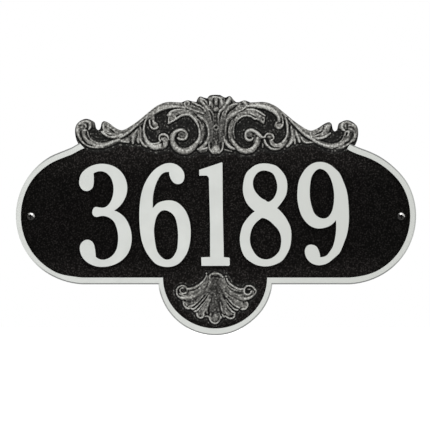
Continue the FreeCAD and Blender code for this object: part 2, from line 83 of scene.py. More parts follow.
def addMath(tree, place, operation, *sources, **values):
    # each source is a socket or a plain number
    node = addNode(tree, "ShaderNodeMath", place, operation=operation, **values)
    for socket, source in zip(node.inputs, sources):
        if isinstance(source, bpy.types.NodeSocket):
            tree.links.new(source, socket)
        else:
            socket.default_value = source
    return node.outputs[0]


def addShare(tree, place, source, fromMin, fromMax, toMin=0.0, toMax=1.0):
    # eases from one value to the other while the source crosses its range
    share = addNode(tree, "ShaderNodeMapRange", place, interpolation_type="SMOOTHSTEP")
    ends = {"From Min": fromMin, "From Max": fromMax, "To Min": toMin, "To Max": toMax}
    for socket, value in ends.items():
        share.inputs[socket].default_value = value
    tree.links.new(source, share.inputs["Value"])
    return share.outputs["Result"]


def addRamp(tree, place, source, stops):
    node = addNode(tree, "ShaderNodeValToRGB", place)
    elements = node.color_ramp.elements
    while len(elements) < len(stops):
        elements.new(0.5)
    for element, (position, colour) in zip(elements, stops):
        element.position = position
        element.color = (*colour, 1)
    tree.links.new(source, node.inputs["Fac"])
    return node.outputs["Color"]


def addTone(tree, place, share, colour, paint):
    # the colour turns into the paint by the share
    mix = addNode(tree, "ShaderNodeMix", place, data_type="RGBA")
    tree.links.new(share, mix.inputs["Factor"])
    tree.links.new(colour, mix.inputs["A"])
    mix.inputs["B"].default_value = (*paint, 1)
    return mix.outputs["Result"]


def addNoise(tree, place, where, scale, detail=2):
    noise = addNode(tree, "ShaderNodeTexNoise", place)
    noise.inputs["Scale"].default_value = scale
    noise.inputs["Detail"].default_value = detail
    tree.links.new(where.outputs["Object"], noise.inputs["Vector"])
    return noise.outputs["Fac"]


def addSplit(tree, place, source):
    split = addNode(tree, "ShaderNodeSeparateXYZ", place)
    tree.links.new(source, split.inputs["Vector"])
    return split.outputs


def addBump(tree, height, shader, strength, distance):
    bump = addNode(tree, "ShaderNodeBump", (-300, -250))
    bump.inputs["Strength"].default_value = strength
    bump.inputs["Distance"].default_value = distance
    tree.links.new(height, bump.inputs["Height"])
    tree.links.new(bump.outputs["Normal"], shader.inputs["Normal"])


# Sand-cast grain: its height, an even speckle, and a painted glint on the few grains that would catch the
# light
def castGrainGroup():
    group = bpy.data.node_groups.new("castGrain", "ShaderNodeTree")
    face = group.interface
    face.new_socket("Grain scale", in_out="INPUT", socket_type="NodeSocketFloat")
    for name in ("Height", "Speckle", "PaintedGlint"):
        face.new_socket(name, in_out="OUTPUT", socket_type="NodeSocketFloat")
    source = addNode(group, "NodeGroupInput", (-900, 0))
    sink = addNode(group, "NodeGroupOutput", (600, 0))
    where = addNode(group, "ShaderNodeTexCoord", (-900, -200))
    grain = addNode(group, "ShaderNodeTexNoise", (-600, 100))
    grain.inputs["Detail"].default_value = 3
    grain.inputs["Roughness"].default_value = 0.6
    cells = addNode(group, "ShaderNodeTexVoronoi", (-600, -250))
    for texture in (grain, cells):
        group.links.new(where.outputs["Object"], texture.inputs["Vector"])
        group.links.new(source.outputs["Grain scale"], texture.inputs["Scale"])
    sources = cells.outputs["Distance"], -0.6, grain.outputs["Fac"]
    mixed = addMath(group, (-300, 0), "MULTIPLY_ADD", *sources)
    group.links.new(mixed, sink.inputs["Height"])
    levels = {"Speckle": (0.0, 0.45), "PaintedGlint": (0.34, 0.62)}
    for row, (name, (low, high)) in enumerate(levels.items()):
        share = addNode(group, "ShaderNodeMapRange", (100, -200 * row))
        share.inputs["From Min"].default_value = low
        share.inputs["From Max"].default_value = high
        group.links.new(mixed, share.inputs["Value"])
        group.links.new(share.outputs["Result"], sink.inputs[name])
    return group


castGrain = castGrainGroup()


def addGrain(tree, scale):
    grain = addNode(tree, "ShaderNodeGroup", (-1100, 0), node_tree=castGrain)
    grain.inputs["Grain scale"].default_value = scale
    return grain.outputs


fieldPaint = {
    "dark": (0.0020, 0.0018, 0.0017),
    "middle": (0.0040, 0.0037, 0.0034),
    "light": (0.018, 0.0162, 0.0155),
    "paintedSheen": {"X": (0.12, 0.03, 0.6), "Z": (0.03, 0.066, 1.6)},
    "roughness": 0.7,
    "specular": 0.02,
    "grainScale": 620,
    "bump": 0.35,
    "bumpDepth": 0.0003,
}


def makeFieldPaint():
    # painted sheen: the speckle is painted lighter towards the middle, the foot and the crest, and less at
    # the two ends
    material, tree, shader = newMaterial("stippledBlack")
    grain = addGrain(tree, fieldPaint["grainScale"])
    where = addNode(tree, "ShaderNodeTexCoord", (-1500, -300))
    split = addSplit(tree, (-1300, -300), where.outputs["Object"])
    shares = []
    for axis, (near, far, most) in fieldPaint["paintedSheen"].items():
        size = addMath(tree, (-1100, -300), "ABSOLUTE", split[axis])
        shares.append(addShare(tree, (-900, -300), size, near, far, 0.0, most))
    paintedSheen = addMath(tree, (-700, -300), "MAXIMUM", *shares)
    gain = addMath(tree, (-500, -300), "ADD", paintedSheen, 1)
    stops = [(0.0, fieldPaint["dark"]), (0.55, fieldPaint["middle"]), (1.0, fieldPaint["light"])]
    colours = addRamp(tree, (-700, 100), grain["Speckle"], stops)
    scaled = addNode(tree, "ShaderNodeVectorMath", (-300, 100), operation="SCALE")
    tree.links.new(colours, scaled.inputs[0])
    tree.links.new(gain, scaled.inputs["Scale"])
    tree.links.new(scaled.outputs["Vector"], shader.inputs["Base Color"])
    addBump(tree, grain["Height"], shader, fieldPaint["bump"], fieldPaint["bumpDepth"])
    shader.inputs["Roughness"].default_value = fieldPaint["roughness"]
    shader.inputs["Specular IOR Level"].default_value = fieldPaint["specular"]
    return material


silverPaint = {
    "base": (0.612, 0.628, 0.602),
    "rightShade": (0.57, 0.584, 0.555),
    # painted shade colour for the chamfer
    "edge": (0.20, 0.205, 0.20),
    "cloudy": (0.95, 1.04),
    "cloudScale": 55,
    "fineScale": 1400,
    "bump": 0.06,
    "bumpDepth": 0.0002,
    "roughness": 0.42,
    "metallic": 0.35,
}


def makeSilver():
    # painted shade: the chamfer is painted dark where it faces up or down, less so where it faces left or
    # right
    material, tree, shader = newMaterial("satinSilver")
    where = addNode(tree, "ShaderNodeTexCoord", (-900, 0))
    cloud = addNoise(tree, (-700, 0), where, silverPaint["cloudScale"], 5)
    low, high = (
        tuple(share * part for part in silverPaint["base"]) for share in silverPaint["cloudy"]
    )
    colours = addRamp(tree, (-450, 100), cloud, [(0.3, low), (0.7, high)])
    facing = addSplit(tree, (-700, 400), where.outputs["Normal"])
    shaded = addShare(tree, (-500, 500), facing["Y"], -0.95, -0.8)
    notLeft = addShare(tree, (-500, 350), facing["X"], -0.62, -0.3)
    notRight = addShare(tree, (-500, 200), facing["X"], 0.68, 0.35, 0.3)
    # painted shade: the lobe's chamfer is painted dark all round, and the silver is painted a little darker
    # toward the right
    place = addSplit(tree, (-700, 600), where.outputs["Object"])
    onLobe = addShare(tree, (-500, 650), place["Z"], -0.068, -0.075, 0.0, 0.8)
    towardRight = addShare(tree, (-500, 800), place["X"], -0.02, 0.12)
    shadedRight = addTone(tree, (-250, 100), towardRight, colours, silverPaint["rightShade"])
    for part in (notLeft, notRight):
        either = addMath(tree, (-400, 400), "MAXIMUM", part, onLobe)
        shaded = addMath(tree, (-300, 400), "MULTIPLY", shaded, either)
    # painted shade: the chamfer's colour turns to the dark edge grey by the way it faces
    toned = addTone(tree, (-150, 250), shaded, shadedRight, silverPaint["edge"])
    tree.links.new(toned, shader.inputs["Base Color"])
    fine = addNoise(tree, (-700, -300), where, silverPaint["fineScale"])
    addBump(tree, fine, shader, silverPaint["bump"], silverPaint["bumpDepth"])
    shader.inputs["Roughness"].default_value = silverPaint["roughness"]
    shader.inputs["Metallic"].default_value = silverPaint["metallic"]
    return material


pewterPaint = {
    "stops": [
        (0.0, (0.0018, 0.0017, 0.0016)),
        (0.2, (0.0175, 0.017, 0.0155)),
        (0.45, (0.12, 0.118, 0.11)),
        (0.72, (0.29, 0.285, 0.265)),
        (1.0, (0.56, 0.56, 0.53)),
    ],
    "patchy": 0.6,
    "Speckle": 0.2,
    "PaintedGlint": 0.44,
    "grainScale": 480,
    "bump": 0.2,
    "bumpDepth": 0.0003,
    "roughness": 0.55,
    "metallic": 0.1,
    "specular": 0.1,
}


def makePewter():
    # the attribute runs from 0 in the recesses to 1 on the rubbed crowns, with a painted shadow round each
    # carving's foot
    material, tree, shader = newMaterial("antiquePewter")
    wearAndShade = addNode(tree, "ShaderNodeAttribute", (-900, 200), attribute_name="wearAndShade").outputs["Fac"]
    grain = addGrain(tree, pewterPaint["grainScale"])
    patchy = pewterPaint["patchy"]
    gain = addMath(
        tree, (-700, 300), "MULTIPLY_ADD", grain["Speckle"], patchy, 1 - 0.45 * patchy
    )
    uneven = addMath(tree, (-550, 300), "MULTIPLY", wearAndShade, gain)
    washed = addMath(tree, (-700, 500), "SUBTRACT", 1, wearAndShade, use_clamp=True)
    # the speckle shows where the wash stays, and the painted glint of the grains with it
    for name in ("Speckle", "PaintedGlint"):
        grains = addMath(tree, (-550, 500), "MULTIPLY", grain[name], washed)
        uneven = addMath(tree, (-400, 400), "MULTIPLY_ADD", grains, pewterPaint[name], uneven)
    colours = addRamp(tree, (-450, 100), uneven, pewterPaint["stops"])
    tree.links.new(colours, shader.inputs["Base Color"])
    addBump(tree, grain["Height"], shader, pewterPaint["bump"], pewterPaint["bumpDepth"])
    shader.inputs["Roughness"].default_value = pewterPaint["roughness"]
    shader.inputs["Metallic"].default_value = pewterPaint["metallic"]
    shader.inputs["Specular IOR Level"].default_value = pewterPaint["specular"]
    return material


backPaint = {
    "base": (0.018, 0.0175, 0.017),
    "lighter": 1.6,
    "grainScale": 300,
    "bump": 0.5,
    "bumpDepth": 0.0004,
    "roughness": 0.5,
    "specular": 0.35,
}


def makeBackPaint():
    material, tree, shader = newMaterial("castBack")
    grain = addGrain(tree, backPaint["grainScale"])
    light = tuple(backPaint["lighter"] * part for part in backPaint["base"])
    stops = [(0.2, backPaint["base"]), (0.9, light)]
    colours = addRamp(tree, (-450, 100), grain["Speckle"], stops)
    tree.links.new(colours, shader.inputs["Base Color"])
    addBump(tree, grain["Height"], shader, backPaint["bump"], backPaint["bumpDepth"])
    shader.inputs["Roughness"].default_value = backPaint["roughness"]
    shader.inputs["Specular IOR Level"].default_value = backPaint["specular"]
    return material


screwPaint = {
    "dark": (0.012, 0.0115, 0.011),
    "light": (0.04, 0.039, 0.038),
    "paintedHighlight": (0.52, 0.515, 0.5),
    "highlightTowards": (0.45, 0.9, 0.0),
    "highlightFrom": (0.0006, 0.0016),
    "highlightBeyond": (0.0013, 0.0019),
    "recess": (0.004, 0.004, 0.004),
    "cloudScale": 700,
    "roughness": 0.24,
    "metallic": 0.95,
    "centreX": 0.1825,
    "recessRadius": 0.0025,
    "recessY": -0.00705,
}


def makeScrewMetal():
    material, tree, shader = newMaterial("screwMetal")
    where = addNode(tree, "ShaderNodeTexCoord", (-1300, 0))
    cloud = addNoise(tree, (-700, 0), where, screwPaint["cloudScale"])
    stops = [(0.3, screwPaint["dark"]), (0.7, screwPaint["light"])]
    colours = addRamp(tree, (-450, 100), cloud, stops)
    split = addSplit(tree, (-1100, -300), where.outputs["Object"])
    side = addMath(tree, (-900, -200), "SIGN", split["X"])
    sources = side, -screwPaint["centreX"], split["X"]
    offset = addMath(tree, (-750, -200), "MULTIPLY_ADD", *sources)
    flat = addNode(tree, "ShaderNodeCombineXYZ", (-600, -250))
    tree.links.new(offset, flat.inputs["X"])
    tree.links.new(split["Z"], flat.inputs["Y"])
    radius = addNode(tree, "ShaderNodeVectorMath", (-450, -250), operation="LENGTH")
    tree.links.new(flat.outputs["Vector"], radius.inputs[0])
    away = radius.outputs["Value"]
    # painted shade fills the cross: near the screw's own axis and below the dome
    within = addMath(tree, (-300, -250), "LESS_THAN", away, screwPaint["recessRadius"])
    below = addMath(tree, (-300, -400), "GREATER_THAN", split["Y"], screwPaint["recessY"])
    recessShade = addMath(tree, (-150, -300), "MULTIPLY", within, below)
    # painted highlight: the head's upper right edge is painted bright where it would catch the lamp, and
    # the rest of it is dark
    towards = addNode(tree, "ShaderNodeVectorMath", (-450, -550), operation="DOT_PRODUCT")
    tree.links.new(flat.outputs["Vector"], towards.inputs[0])
    towards.inputs[1].default_value = screwPaint["highlightTowards"]
    upper = addShare(tree, (-250, -550), towards.outputs["Value"], *screwPaint["highlightFrom"])
    outer = addShare(tree, (-250, -750), away, *screwPaint["highlightBeyond"])
    paintedHighlight = addMath(tree, (-100, -600), "MULTIPLY", upper, outer)
    bright = addTone(tree, (-300, 300), paintedHighlight, colours, screwPaint["paintedHighlight"])
    mixed = addTone(tree, (-150, 100), recessShade, bright, screwPaint["recess"])
    tree.links.new(mixed, shader.inputs["Base Color"])
    shader.inputs["Roughness"].default_value = screwPaint["roughness"]
    shader.inputs["Metallic"].default_value = screwPaint["metallic"]
    return material


blackPaint = makeFieldPaint()
silver = makeSilver()
pewter = makePewter()
castBack = makeBackPaint()
screwMetal = makeScrewMetal()
print("materials ready")


# Carving: profile, height in mm, how far it is rubbed bright, stations of column, row and half width
crestBody = {
    "hookBed": ("flat", 1.7, 0.42, [
        (86.4, 124.6, 3.6), (82.6, 125.6, 4.6), (81.8, 131.0, 4.0), (84.0, 136.6, 4.4),
        (88.6, 141.6, 4.4), (95.0, 144.6, 3.8), (103.0, 145.2, 3.0), (111.0, 142.8, 2.6),
        (119.0, 139.6, 2.4),
    ]),
    "headSlope": ("flat", 1.1, 0.4, [(87.0, 122.0, 2.6), (91.6, 123.4, 2.6), (93.4, 126.0, 1.6)]),
    "hookRim": ("round", 3.3, 0.72, [
        (88.8, 129.4, 0.9), (90.3, 126.8, 1.3), (90.3, 123.8, 1.4), (88.4, 121.8, 1.4),
        (85.2, 121.3, 1.3), (81.6, 122.3, 1.4), (78.7, 124.6, 1.5), (77.3, 128.0, 1.6),
        (77.5, 132.0, 1.7), (78.8, 136.0, 1.4), (80.7, 139.8, 1.1), (83.2, 142.8, 0.9),
        (86.6, 145.1, 0.8), (90.6, 146.7, 0.9), (96.5, 147.4, 1.0), (103.5, 147.0, 0.9),
    ]),
    "hookBand": ("round", 3.2, (0.55, 0.62), [
        (82.8, 131.4, 1.0), (82.8, 134.2, 1.3), (84.6, 137.8, 2.2), (87.6, 141.0, 2.6),
        (91.6, 143.4, 2.6), (97.0, 144.8, 2.5), (103.0, 144.8, 2.3), (109.0, 143.2, 1.9),
        (114.5, 141.0, 1.7), (120.0, 138.9, 1.3),
    ]),
    "hookLight": ("round", 3.4, 0.9, [
        (92.0, 144.2, 0.8), (98.5, 145.6, 1.2), (104.0, 145.1, 1.4), (109.5, 143.6, 1.3),
        (114.5, 141.5, 1.2), (119.8, 139.2, 1.1),
    ]),
    "hookKnob": ("round", 3.6, 0.95, [(83.8, 130.3, 0.8), (86.4, 130.3, 0.8)]),
    "hookEdge": ("round", 3.1, 0.62, [
        (87.4, 131.2, 0.7), (88.1, 134.0, 0.6), (89.1, 136.8, 0.6), (91.0, 139.3, 0.6),
        (94.0, 141.7, 0.6), (98.0, 142.9, 0.6),
    ]),
    "eyeLump": ("round", 2.9, 0.7, [(81.3, 127.2, 1.3), (82.1, 127.2, 1.3)]),
    "browLine": ("round", 2.7, 0.66, [(78.4, 124.7, 0.7), (81.0, 123.6, 0.7), (84.0, 123.9, 0.7)]),
    "eyeTwist": ("round", 2.7, 0.66, [(85.2, 124.6, 0.6), (86.1, 126.4, 0.7), (85.0, 128.2, 0.6)]),
    "hookLip": ("round", 0.9, 0.3, [
        (91.2, 136.6, 0.5), (93.2, 138.5, 0.5), (96.0, 140.0, 0.5), (100.5, 140.5, 0.5),
        (105.0, 140.2, 0.5), (109.0, 139.4, 0.4),
    ]),
    "leafBody": ("flat", 1.9, 0.48, [
        (104.4, 124.0, 2.4), (107.4, 127.6, 4.0), (112.4, 131.0, 4.6), (119.0, 133.6, 4.4),
    ]),
    "leafRim": ("round", 2.9, 0.78, [
        (105.4, 122.1, 0.8), (103.5, 123.6, 1.0), (103.1, 126.6, 1.0), (103.6, 129.6, 0.9),
        (105.2, 131.4, 0.6),
    ]),
    "leafKeel": ("round", 3.6, 0.92, [
        (101.4, 131.7, 0.7), (103.6, 133.6, 1.0), (106.4, 135.4, 1.0), (110.0, 136.8, 1.2),
        (114.2, 137.0, 1.3), (118.4, 135.9, 1.2), (123.0, 134.2, 0.9),
    ]),
    "leafVein": ("round", 2.6, 0.64, [
        (105.4, 129.4, 0.7), (108.0, 131.6, 0.7), (111.4, 133.4, 0.7), (116.0, 134.8, 0.7),
    ]),
    "leafGlint": ("round", 3.0, 0.86, [
        (110.4, 127.5, 0.6), (112.4, 129.2, 0.7), (114.6, 131.2, 0.7), (117.2, 133.0, 0.8),
    ]),
    "leafFold": ("round", 2.4, 0.64, [(106.8, 125.2, 0.7), (109.4, 127.4, 0.7)]),
    "leafBack": ("round", 2.5, 0.5, [
        (106.0, 122.4, 0.9), (110.0, 124.8, 1.1), (114.0, 127.9, 1.1), (118.0, 130.2, 1.2),
        (123.0, 131.4, 1.3), (128.0, 130.2, 1.2),
    ]),
    "bandBody": ("flat", 2.4, 0.5, [
        (119.0, 134.6, 3.6), (125.0, 132.6, 3.2), (131.0, 129.2, 3.2), (138.5, 123.7, 3.0),
        (146.0, 117.4, 3.0), (154.0, 111.3, 3.5), (162.0, 107.0, 3.8), (170.0, 105.4, 3.3),
        (178.0, 105.6, 3.2), (185.0, 106.4, 3.2),
    ]),
    "bandKeel": ("round", 3.4, (0.62, 0.78), [
        (120.0, 134.8, 1.0), (126.0, 133.2, 1.1), (131.0, 129.9, 1.2), (136.0, 126.0, 1.6),
        (141.0, 121.6, 1.5), (146.0, 117.3, 1.4), (151.0, 113.4, 1.7), (156.0, 110.1, 2.0),
        (161.0, 107.9, 2.2), (166.0, 106.8, 2.2), (171.0, 106.3, 1.8), (177.0, 106.6, 1.3),
        (185.0, 107.4, 1.0),
    ]),
    "bandLight": ("round", 3.6, 0.95, [
        (157.0, 112.0, 0.7), (160.5, 110.0, 0.8), (165.0, 108.5, 0.9), (169.5, 107.3, 1.1),
        (175.0, 106.7, 1.0), (180.0, 106.8, 0.6),
    ]),
    "lobeBed": ("flat", 1.5, 0.42, [
        (121.0, 139.4, 2.2), (127.0, 138.2, 3.4), (132.6, 136.6, 5.4), (138.0, 134.4, 6.2),
        (142.0, 131.0, 3.6),
    ]),
    "lobeFoot": ("flat", 1.3, 0.36, [(141.0, 136.0, 2.0), (143.6, 142.0, 2.0), (146.0, 145.4, 1.2)]),
    "lobeOne": ("round", 2.6, 0.64, [(121.0, 141.0, 0.9), (124.6, 140.5, 1.5), (128.2, 139.4, 2.1)]),
    "lobeOneTip": ("round", 2.9, 0.95, [
        (121.2, 141.6, 0.6), (125.0, 141.8, 0.7), (127.6, 142.1, 0.9), (128.8, 141.8, 0.8),
    ]),
    "lobeTwo": ("round", 2.9, 0.66, [
        (137.4, 129.4, 0.9), (135.2, 132.4, 1.3), (133.4, 136.0, 1.9), (132.9, 140.0, 1.9),
        (133.0, 143.0, 1.0),
    ]),
    "lobeTwoTip": ("round", 3.1, 1.0, [(132.9, 141.4, 0.8), (133.0, 143.2, 0.9)]),
    "lobeThree": ("round", 2.9, 0.64, [
        (138.6, 130.8, 0.9), (138.2, 133.6, 0.9), (138.3, 137.2, 1.4), (138.0, 140.2, 1.5),
        (138.6, 142.8, 0.9),
    ]),
    "lobeThreeLight": ("round", 3.0, 0.95, [(138.0, 136.9, 0.8), (138.7, 137.1, 0.8)]),
    "lobeThreeTip": ("round", 3.0, 1.0, [(137.3, 140.8, 0.6), (138.5, 142.7, 0.8)]),
    "lobeFour": ("round", 3.0, 0.9, [
        (139.9, 137.8, 0.7), (140.7, 140.6, 0.8), (142.3, 143.3, 0.9), (144.3, 145.5, 0.9),
        (146.8, 146.8, 0.7),
    ]),
    "lobeLine": ("round", 2.4, 0.62, [
        (139.6, 125.9, 0.8), (140.7, 129.4, 0.8), (140.4, 133.4, 0.8), (140.0, 137.0, 0.7),
    ]),
    "innerScroll": ("round", 3.8, (0.62, 0.9), [
        (146.6, 117.6, 1.0), (145.3, 120.8, 1.2), (144.4, 124.4, 1.2), (143.8, 128.6, 1.1),
        (144.0, 132.8, 1.2), (144.8, 136.6, 1.6), (146.3, 140.4, 2.0), (148.8, 143.7, 2.5),
        (152.2, 146.2, 2.7), (156.4, 147.0, 3.0), (160.2, 146.1, 2.9),
    ]),
    "scrollBody": ("flat", 3.1, 0.58, [
        (165.2, 139.8, 2.8), (165.6, 142.6, 2.9), (163.4, 145.6, 3.0), (159.6, 146.6, 2.9),
    ]),
    "innerRing": ("round", 3.9, 0.92, [
        (159.3, 139.9, 0.7), (159.2, 137.6, 0.9), (159.9, 135.6, 0.9), (161.8, 134.3, 0.9),
        (164.2, 134.0, 0.9), (166.4, 135.1, 0.9), (168.0, 137.1, 0.9), (168.7, 139.4, 0.7),
    ]),
    "innerLoop": ("round", 3.6, 0.68, [
        (165.0, 137.3, 0.7), (163.0, 138.4, 0.8), (162.8, 140.3, 0.8), (164.0, 142.3, 0.8),
        (165.0, 144.6, 0.7),
    ]),
    "commaBody": ("flat", 2.0, 0.54, [
        (152.6, 115.6, 2.4), (152.6, 120.6, 2.2), (154.0, 124.2, 2.4), (156.0, 125.6, 2.0),
    ]),
    "commaRim": ("round", 3.4, 0.92, [
        (149.6, 119.8, 0.7), (149.6, 122.8, 0.8), (150.3, 125.6, 0.9), (151.7, 127.7, 1.0),
        (153.9, 128.8, 1.1), (156.2, 128.3, 1.0), (158.0, 127.0, 0.8),
    ]),
    "commaStem": ("round", 2.8, 0.66, [
        (153.0, 114.6, 0.9), (153.0, 118.4, 1.0), (153.6, 121.4, 1.2), (154.4, 124.4, 1.0),
    ]),
    "commaTip": ("round", 3.2, 0.85, [(156.0, 123.4, 1.0), (156.9, 124.4, 1.0)]),
    "greatLeaf": ("flat", 2.7, 0.55, [
        (171.0, 117.6, 2.4), (173.0, 114.4, 3.2), (177.6, 112.4, 3.0), (183.0, 111.9, 3.0),
        (188.6, 112.8, 3.0), (193.0, 115.8, 2.6), (196.4, 120.6, 2.2),
    ]),
    "leafBarb": ("flat", 2.6, 0.5, [(173.4, 117.8, 2.6), (171.0, 120.2, 1.9), (169.0, 122.6, 1.0)]),
    "leafTongue": ("round", 3.5, 1.0, [(171.4, 113.0, 1.2), (169.6, 114.4, 1.6), (168.0, 115.3, 1.1)]),
    "barbLeft": ("round", 3.3, 0.9, [(168.8, 117.2, 0.6), (168.6, 120.4, 0.6), (168.4, 123.3, 0.8)]),
    "barbFoot": ("round", 3.3, 0.86, [(168.8, 123.4, 0.7), (171.6, 121.6, 0.8), (174.8, 119.9, 0.8)]),
    "barbRight": ("round", 3.5, 0.95, [(175.2, 115.8, 0.7), (175.6, 117.6, 1.0), (176.2, 119.2, 1.0)]),
    "greatRim": ("round", 4.2, 0.95, [
        (176.6, 118.8, 0.8), (178.8, 116.9, 1.0), (181.6, 115.4, 1.1), (185.2, 114.6, 1.1),
        (188.8, 114.8, 1.2), (191.6, 116.2, 1.2), (194.0, 118.6, 1.0), (196.0, 121.2, 1.0),
        (197.7, 124.4, 0.9), (198.9, 128.0, 0.9), (199.6, 132.0, 1.0), (199.5, 136.2, 1.1),
        (198.4, 140.2, 1.5), (196.2, 143.6, 2.1),
    ]),
    "greatVolute": ("round", 4.3, (0.7, 0.64), [
        (198.4, 140.6, 1.3), (196.4, 143.6, 2.1), (193.4, 147.0, 2.9), (189.2, 150.1, 3.3),
        (184.2, 151.2, 3.3), (179.4, 150.1, 3.2), (175.4, 147.0, 3.1), (173.0, 142.7, 2.8),
        (172.3, 138.4, 2.6), (173.4, 134.6, 2.6), (176.3, 131.5, 2.4), (180.0, 130.2, 2.1),
        (183.3, 130.7, 2.0), (185.8, 132.8, 1.8), (186.8, 135.4, 1.5), (185.8, 138.0, 1.5),
        (183.4, 139.5, 1.3), (180.8, 139.3, 1.2), (178.9, 137.8, 0.8),
    ]),
    "voluteLight": ("round", 4.4, 0.95, [
        (186.8, 135.0, 0.7), (186.0, 137.6, 0.8), (183.6, 139.4, 0.9), (180.2, 139.4, 1.0),
        (177.6, 138.0, 0.9),
    ]),
    "bandFoot": ("round", 3.4, 0.72, [
        (153.0, 114.4, 0.7), (157.0, 111.8, 0.8), (162.0, 109.6, 0.8), (168.0, 108.0, 0.7),
    ]),
    "leafGlintLow": ("round", 3.9, 0.95, [(103.0, 131.2, 0.8), (106.4, 133.3, 0.9), (110.6, 134.4, 0.8)]),
    "bandRidge": ("round", 4.0, 0.82, [
        (119.6, 137.6, 0.8), (125.0, 134.9, 0.9), (130.4, 131.2, 0.9), (136.4, 127.2, 0.8),
        (142.6, 122.8, 0.6),
    ]),
    "scrollTopLeft": ("round", 4.0, 0.85, [
        (151.4, 143.5, 0.6), (155.6, 143.5, 0.8), (159.4, 142.2, 0.9), (161.3, 139.0, 0.8),
        (161.9, 136.4, 0.8), (163.8, 134.9, 0.9), (166.0, 135.8, 0.7),
    ]),
    "budGlint": ("round", 4.0, 0.95, [(201.4, 98.6, 0.8), (203.2, 101.2, 1.0), (204.8, 104.0, 0.7)]),
    "voluteCrown": ("round", 4.4, 0.9, [(176.6, 131.6, 0.9), (180.4, 129.6, 0.9), (184.0, 130.4, 0.9)]),
    "greatTop": ("round", 3.4, (0.95, 0.6), [
        (169.4, 112.8, 0.9), (171.8, 111.1, 0.9), (174.8, 109.9, 0.9), (178.8, 109.4, 0.8),
        (184.0, 109.7, 0.8), (189.0, 110.6, 0.7),
    ]),
    "greatVein": ("round", 3.1, 0.64, [
        (172.4, 114.6, 0.7), (175.6, 113.0, 0.7), (180.0, 112.0, 0.8), (185.0, 112.0, 0.8),
        (190.0, 113.4, 0.7),
    ]),
    "greatEye": ("flat", 2.0, 0.4, [(181.0, 135.0, 3.2), (182.0, 135.0, 3.2)]),
    "eyeRing": ("round", 2.6, 0.55, [
        (178.6, 136.2, 0.7), (178.9, 133.9, 0.7), (181.0, 132.5, 0.7), (183.6, 133.2, 0.7),
        (184.5, 135.4, 0.7), (183.0, 137.0, 0.6), (181.0, 136.8, 0.5),
    ]),
    "spanBody": ("flat", 2.1, 0.5, [
        (199.4, 119.4, 1.6), (201.6, 123.4, 2.3), (202.3, 128.0, 2.1), (202.3, 134.0, 2.0),
        (201.4, 139.6, 1.9), (199.8, 143.2, 1.5),
    ]),
    "spanBack": ("flat", 1.0, 0.3, [
        (204.0, 122.4, 1.6), (205.6, 128.0, 1.6), (205.4, 134.4, 1.6), (204.0, 140.6, 1.6),
    ]),
    "secondBand": ("round", 3.8, (0.72, 0.62), [
        (197.4, 115.9, 1.0), (200.6, 117.3, 1.5), (203.6, 119.3, 1.6), (205.9, 122.2, 1.4),
        (207.4, 125.6, 1.2), (208.4, 129.2, 1.1), (208.7, 132.8, 1.1), (208.3, 137.0, 1.2),
        (207.0, 141.2, 1.6), (204.6, 144.8, 2.0), (201.4, 147.3, 1.9), (198.4, 149.0, 1.2),
    ]),
    "bandGlint": ("round", 3.9, 0.9, [
        (206.8, 124.4, 0.6), (208.2, 128.4, 0.7), (208.9, 132.4, 0.7), (208.8, 135.6, 0.5),
    ]),
    "foot": ("round", 3.6, 0.92, [
        (197.6, 149.2, 0.8), (200.4, 149.4, 1.3), (203.6, 148.9, 1.0), (206.8, 147.6, 0.7),
    ]),
    "footShade": ("flat", 1.6, 0.4, [(200.0, 150.8, 1.6), (204.6, 150.2, 1.8), (208.0, 148.0, 1.5)]),
    "curlKnob": ("flat", 2.5, 0.4, [(187.0, 103.2, 3.0), (187.4, 103.2, 3.0)]),
    "curlRing": ("round", 3.8, 0.68, [
        (187.4, 105.2, 0.7), (189.2, 104.2, 0.8), (188.8, 102.2, 0.8), (186.8, 101.5, 0.8),
        (185.0, 102.4, 0.8), (184.8, 104.6, 0.9), (185.8, 106.8, 1.0), (188.6, 108.4, 1.0),
        (192.0, 109.6, 1.0), (196.0, 110.9, 0.9), (200.0, 112.4, 0.9), (204.4, 113.8, 0.7),
    ]),
    "curlEye": ("round", 3.3, 0.7, [(186.6, 103.4, 0.8), (187.2, 103.4, 0.8)]),
    "sideBed": ("flat", 2.1, 0.39, [
        (187.4, 105.6, 3.2), (192.6, 107.2, 5.0), (199.0, 109.8, 6.4), (205.0, 114.6, 5.6),
        (209.4, 121.0, 3.6), (211.0, 131.0, 2.2), (210.8, 142.0, 2.2),
    ]),
    "sideRim": ("round", 3.4, 0.88, [
        (192.4, 101.8, 0.6), (194.6, 103.2, 0.8), (197.2, 104.8, 0.9), (200.2, 105.6, 0.9),
        (202.6, 107.2, 0.9), (204.3, 109.4, 0.8), (205.4, 111.4, 0.6),
    ]),
    "sideVein": ("round", 2.8, 0.6, [
        (190.6, 105.6, 0.7), (194.6, 106.8, 0.8), (198.6, 108.4, 0.9), (202.6, 111.6, 0.8),
    ]),
    "sideGlint": ("round", 3.0, 0.85, [(198.8, 108.4, 0.7), (199.6, 108.6, 0.7)]),
    "sideFold": ("round", 2.8, 0.55, [(196.4, 113.6, 0.8), (200.6, 114.8, 0.9), (205.0, 116.6, 0.9)]),
    "budBody": ("flat", 2.3, 0.42, [(200.2, 100.0, 2.8), (204.0, 102.8, 3.4), (208.0, 108.0, 2.8)]),
    "budRim": ("round", 3.7, 0.8, [
        (200.8, 97.8, 0.8), (200.9, 100.4, 0.9), (202.3, 103.0, 1.0), (204.6, 105.6, 0.9),
        (206.6, 107.6, 0.8), (208.6, 109.6, 0.7),
    ]),
    "budCrown": ("round", 3.5, 0.66, [
        (202.2, 98.4, 0.7), (204.6, 100.0, 0.8), (206.4, 102.2, 0.8), (207.4, 104.4, 0.7),
    ]),
    "petal": ("round", 3.8, 0.95, [(213.4, 96.8, 0.9), (212.7, 98.4, 1.0), (211.5, 100.0, 0.8)]),
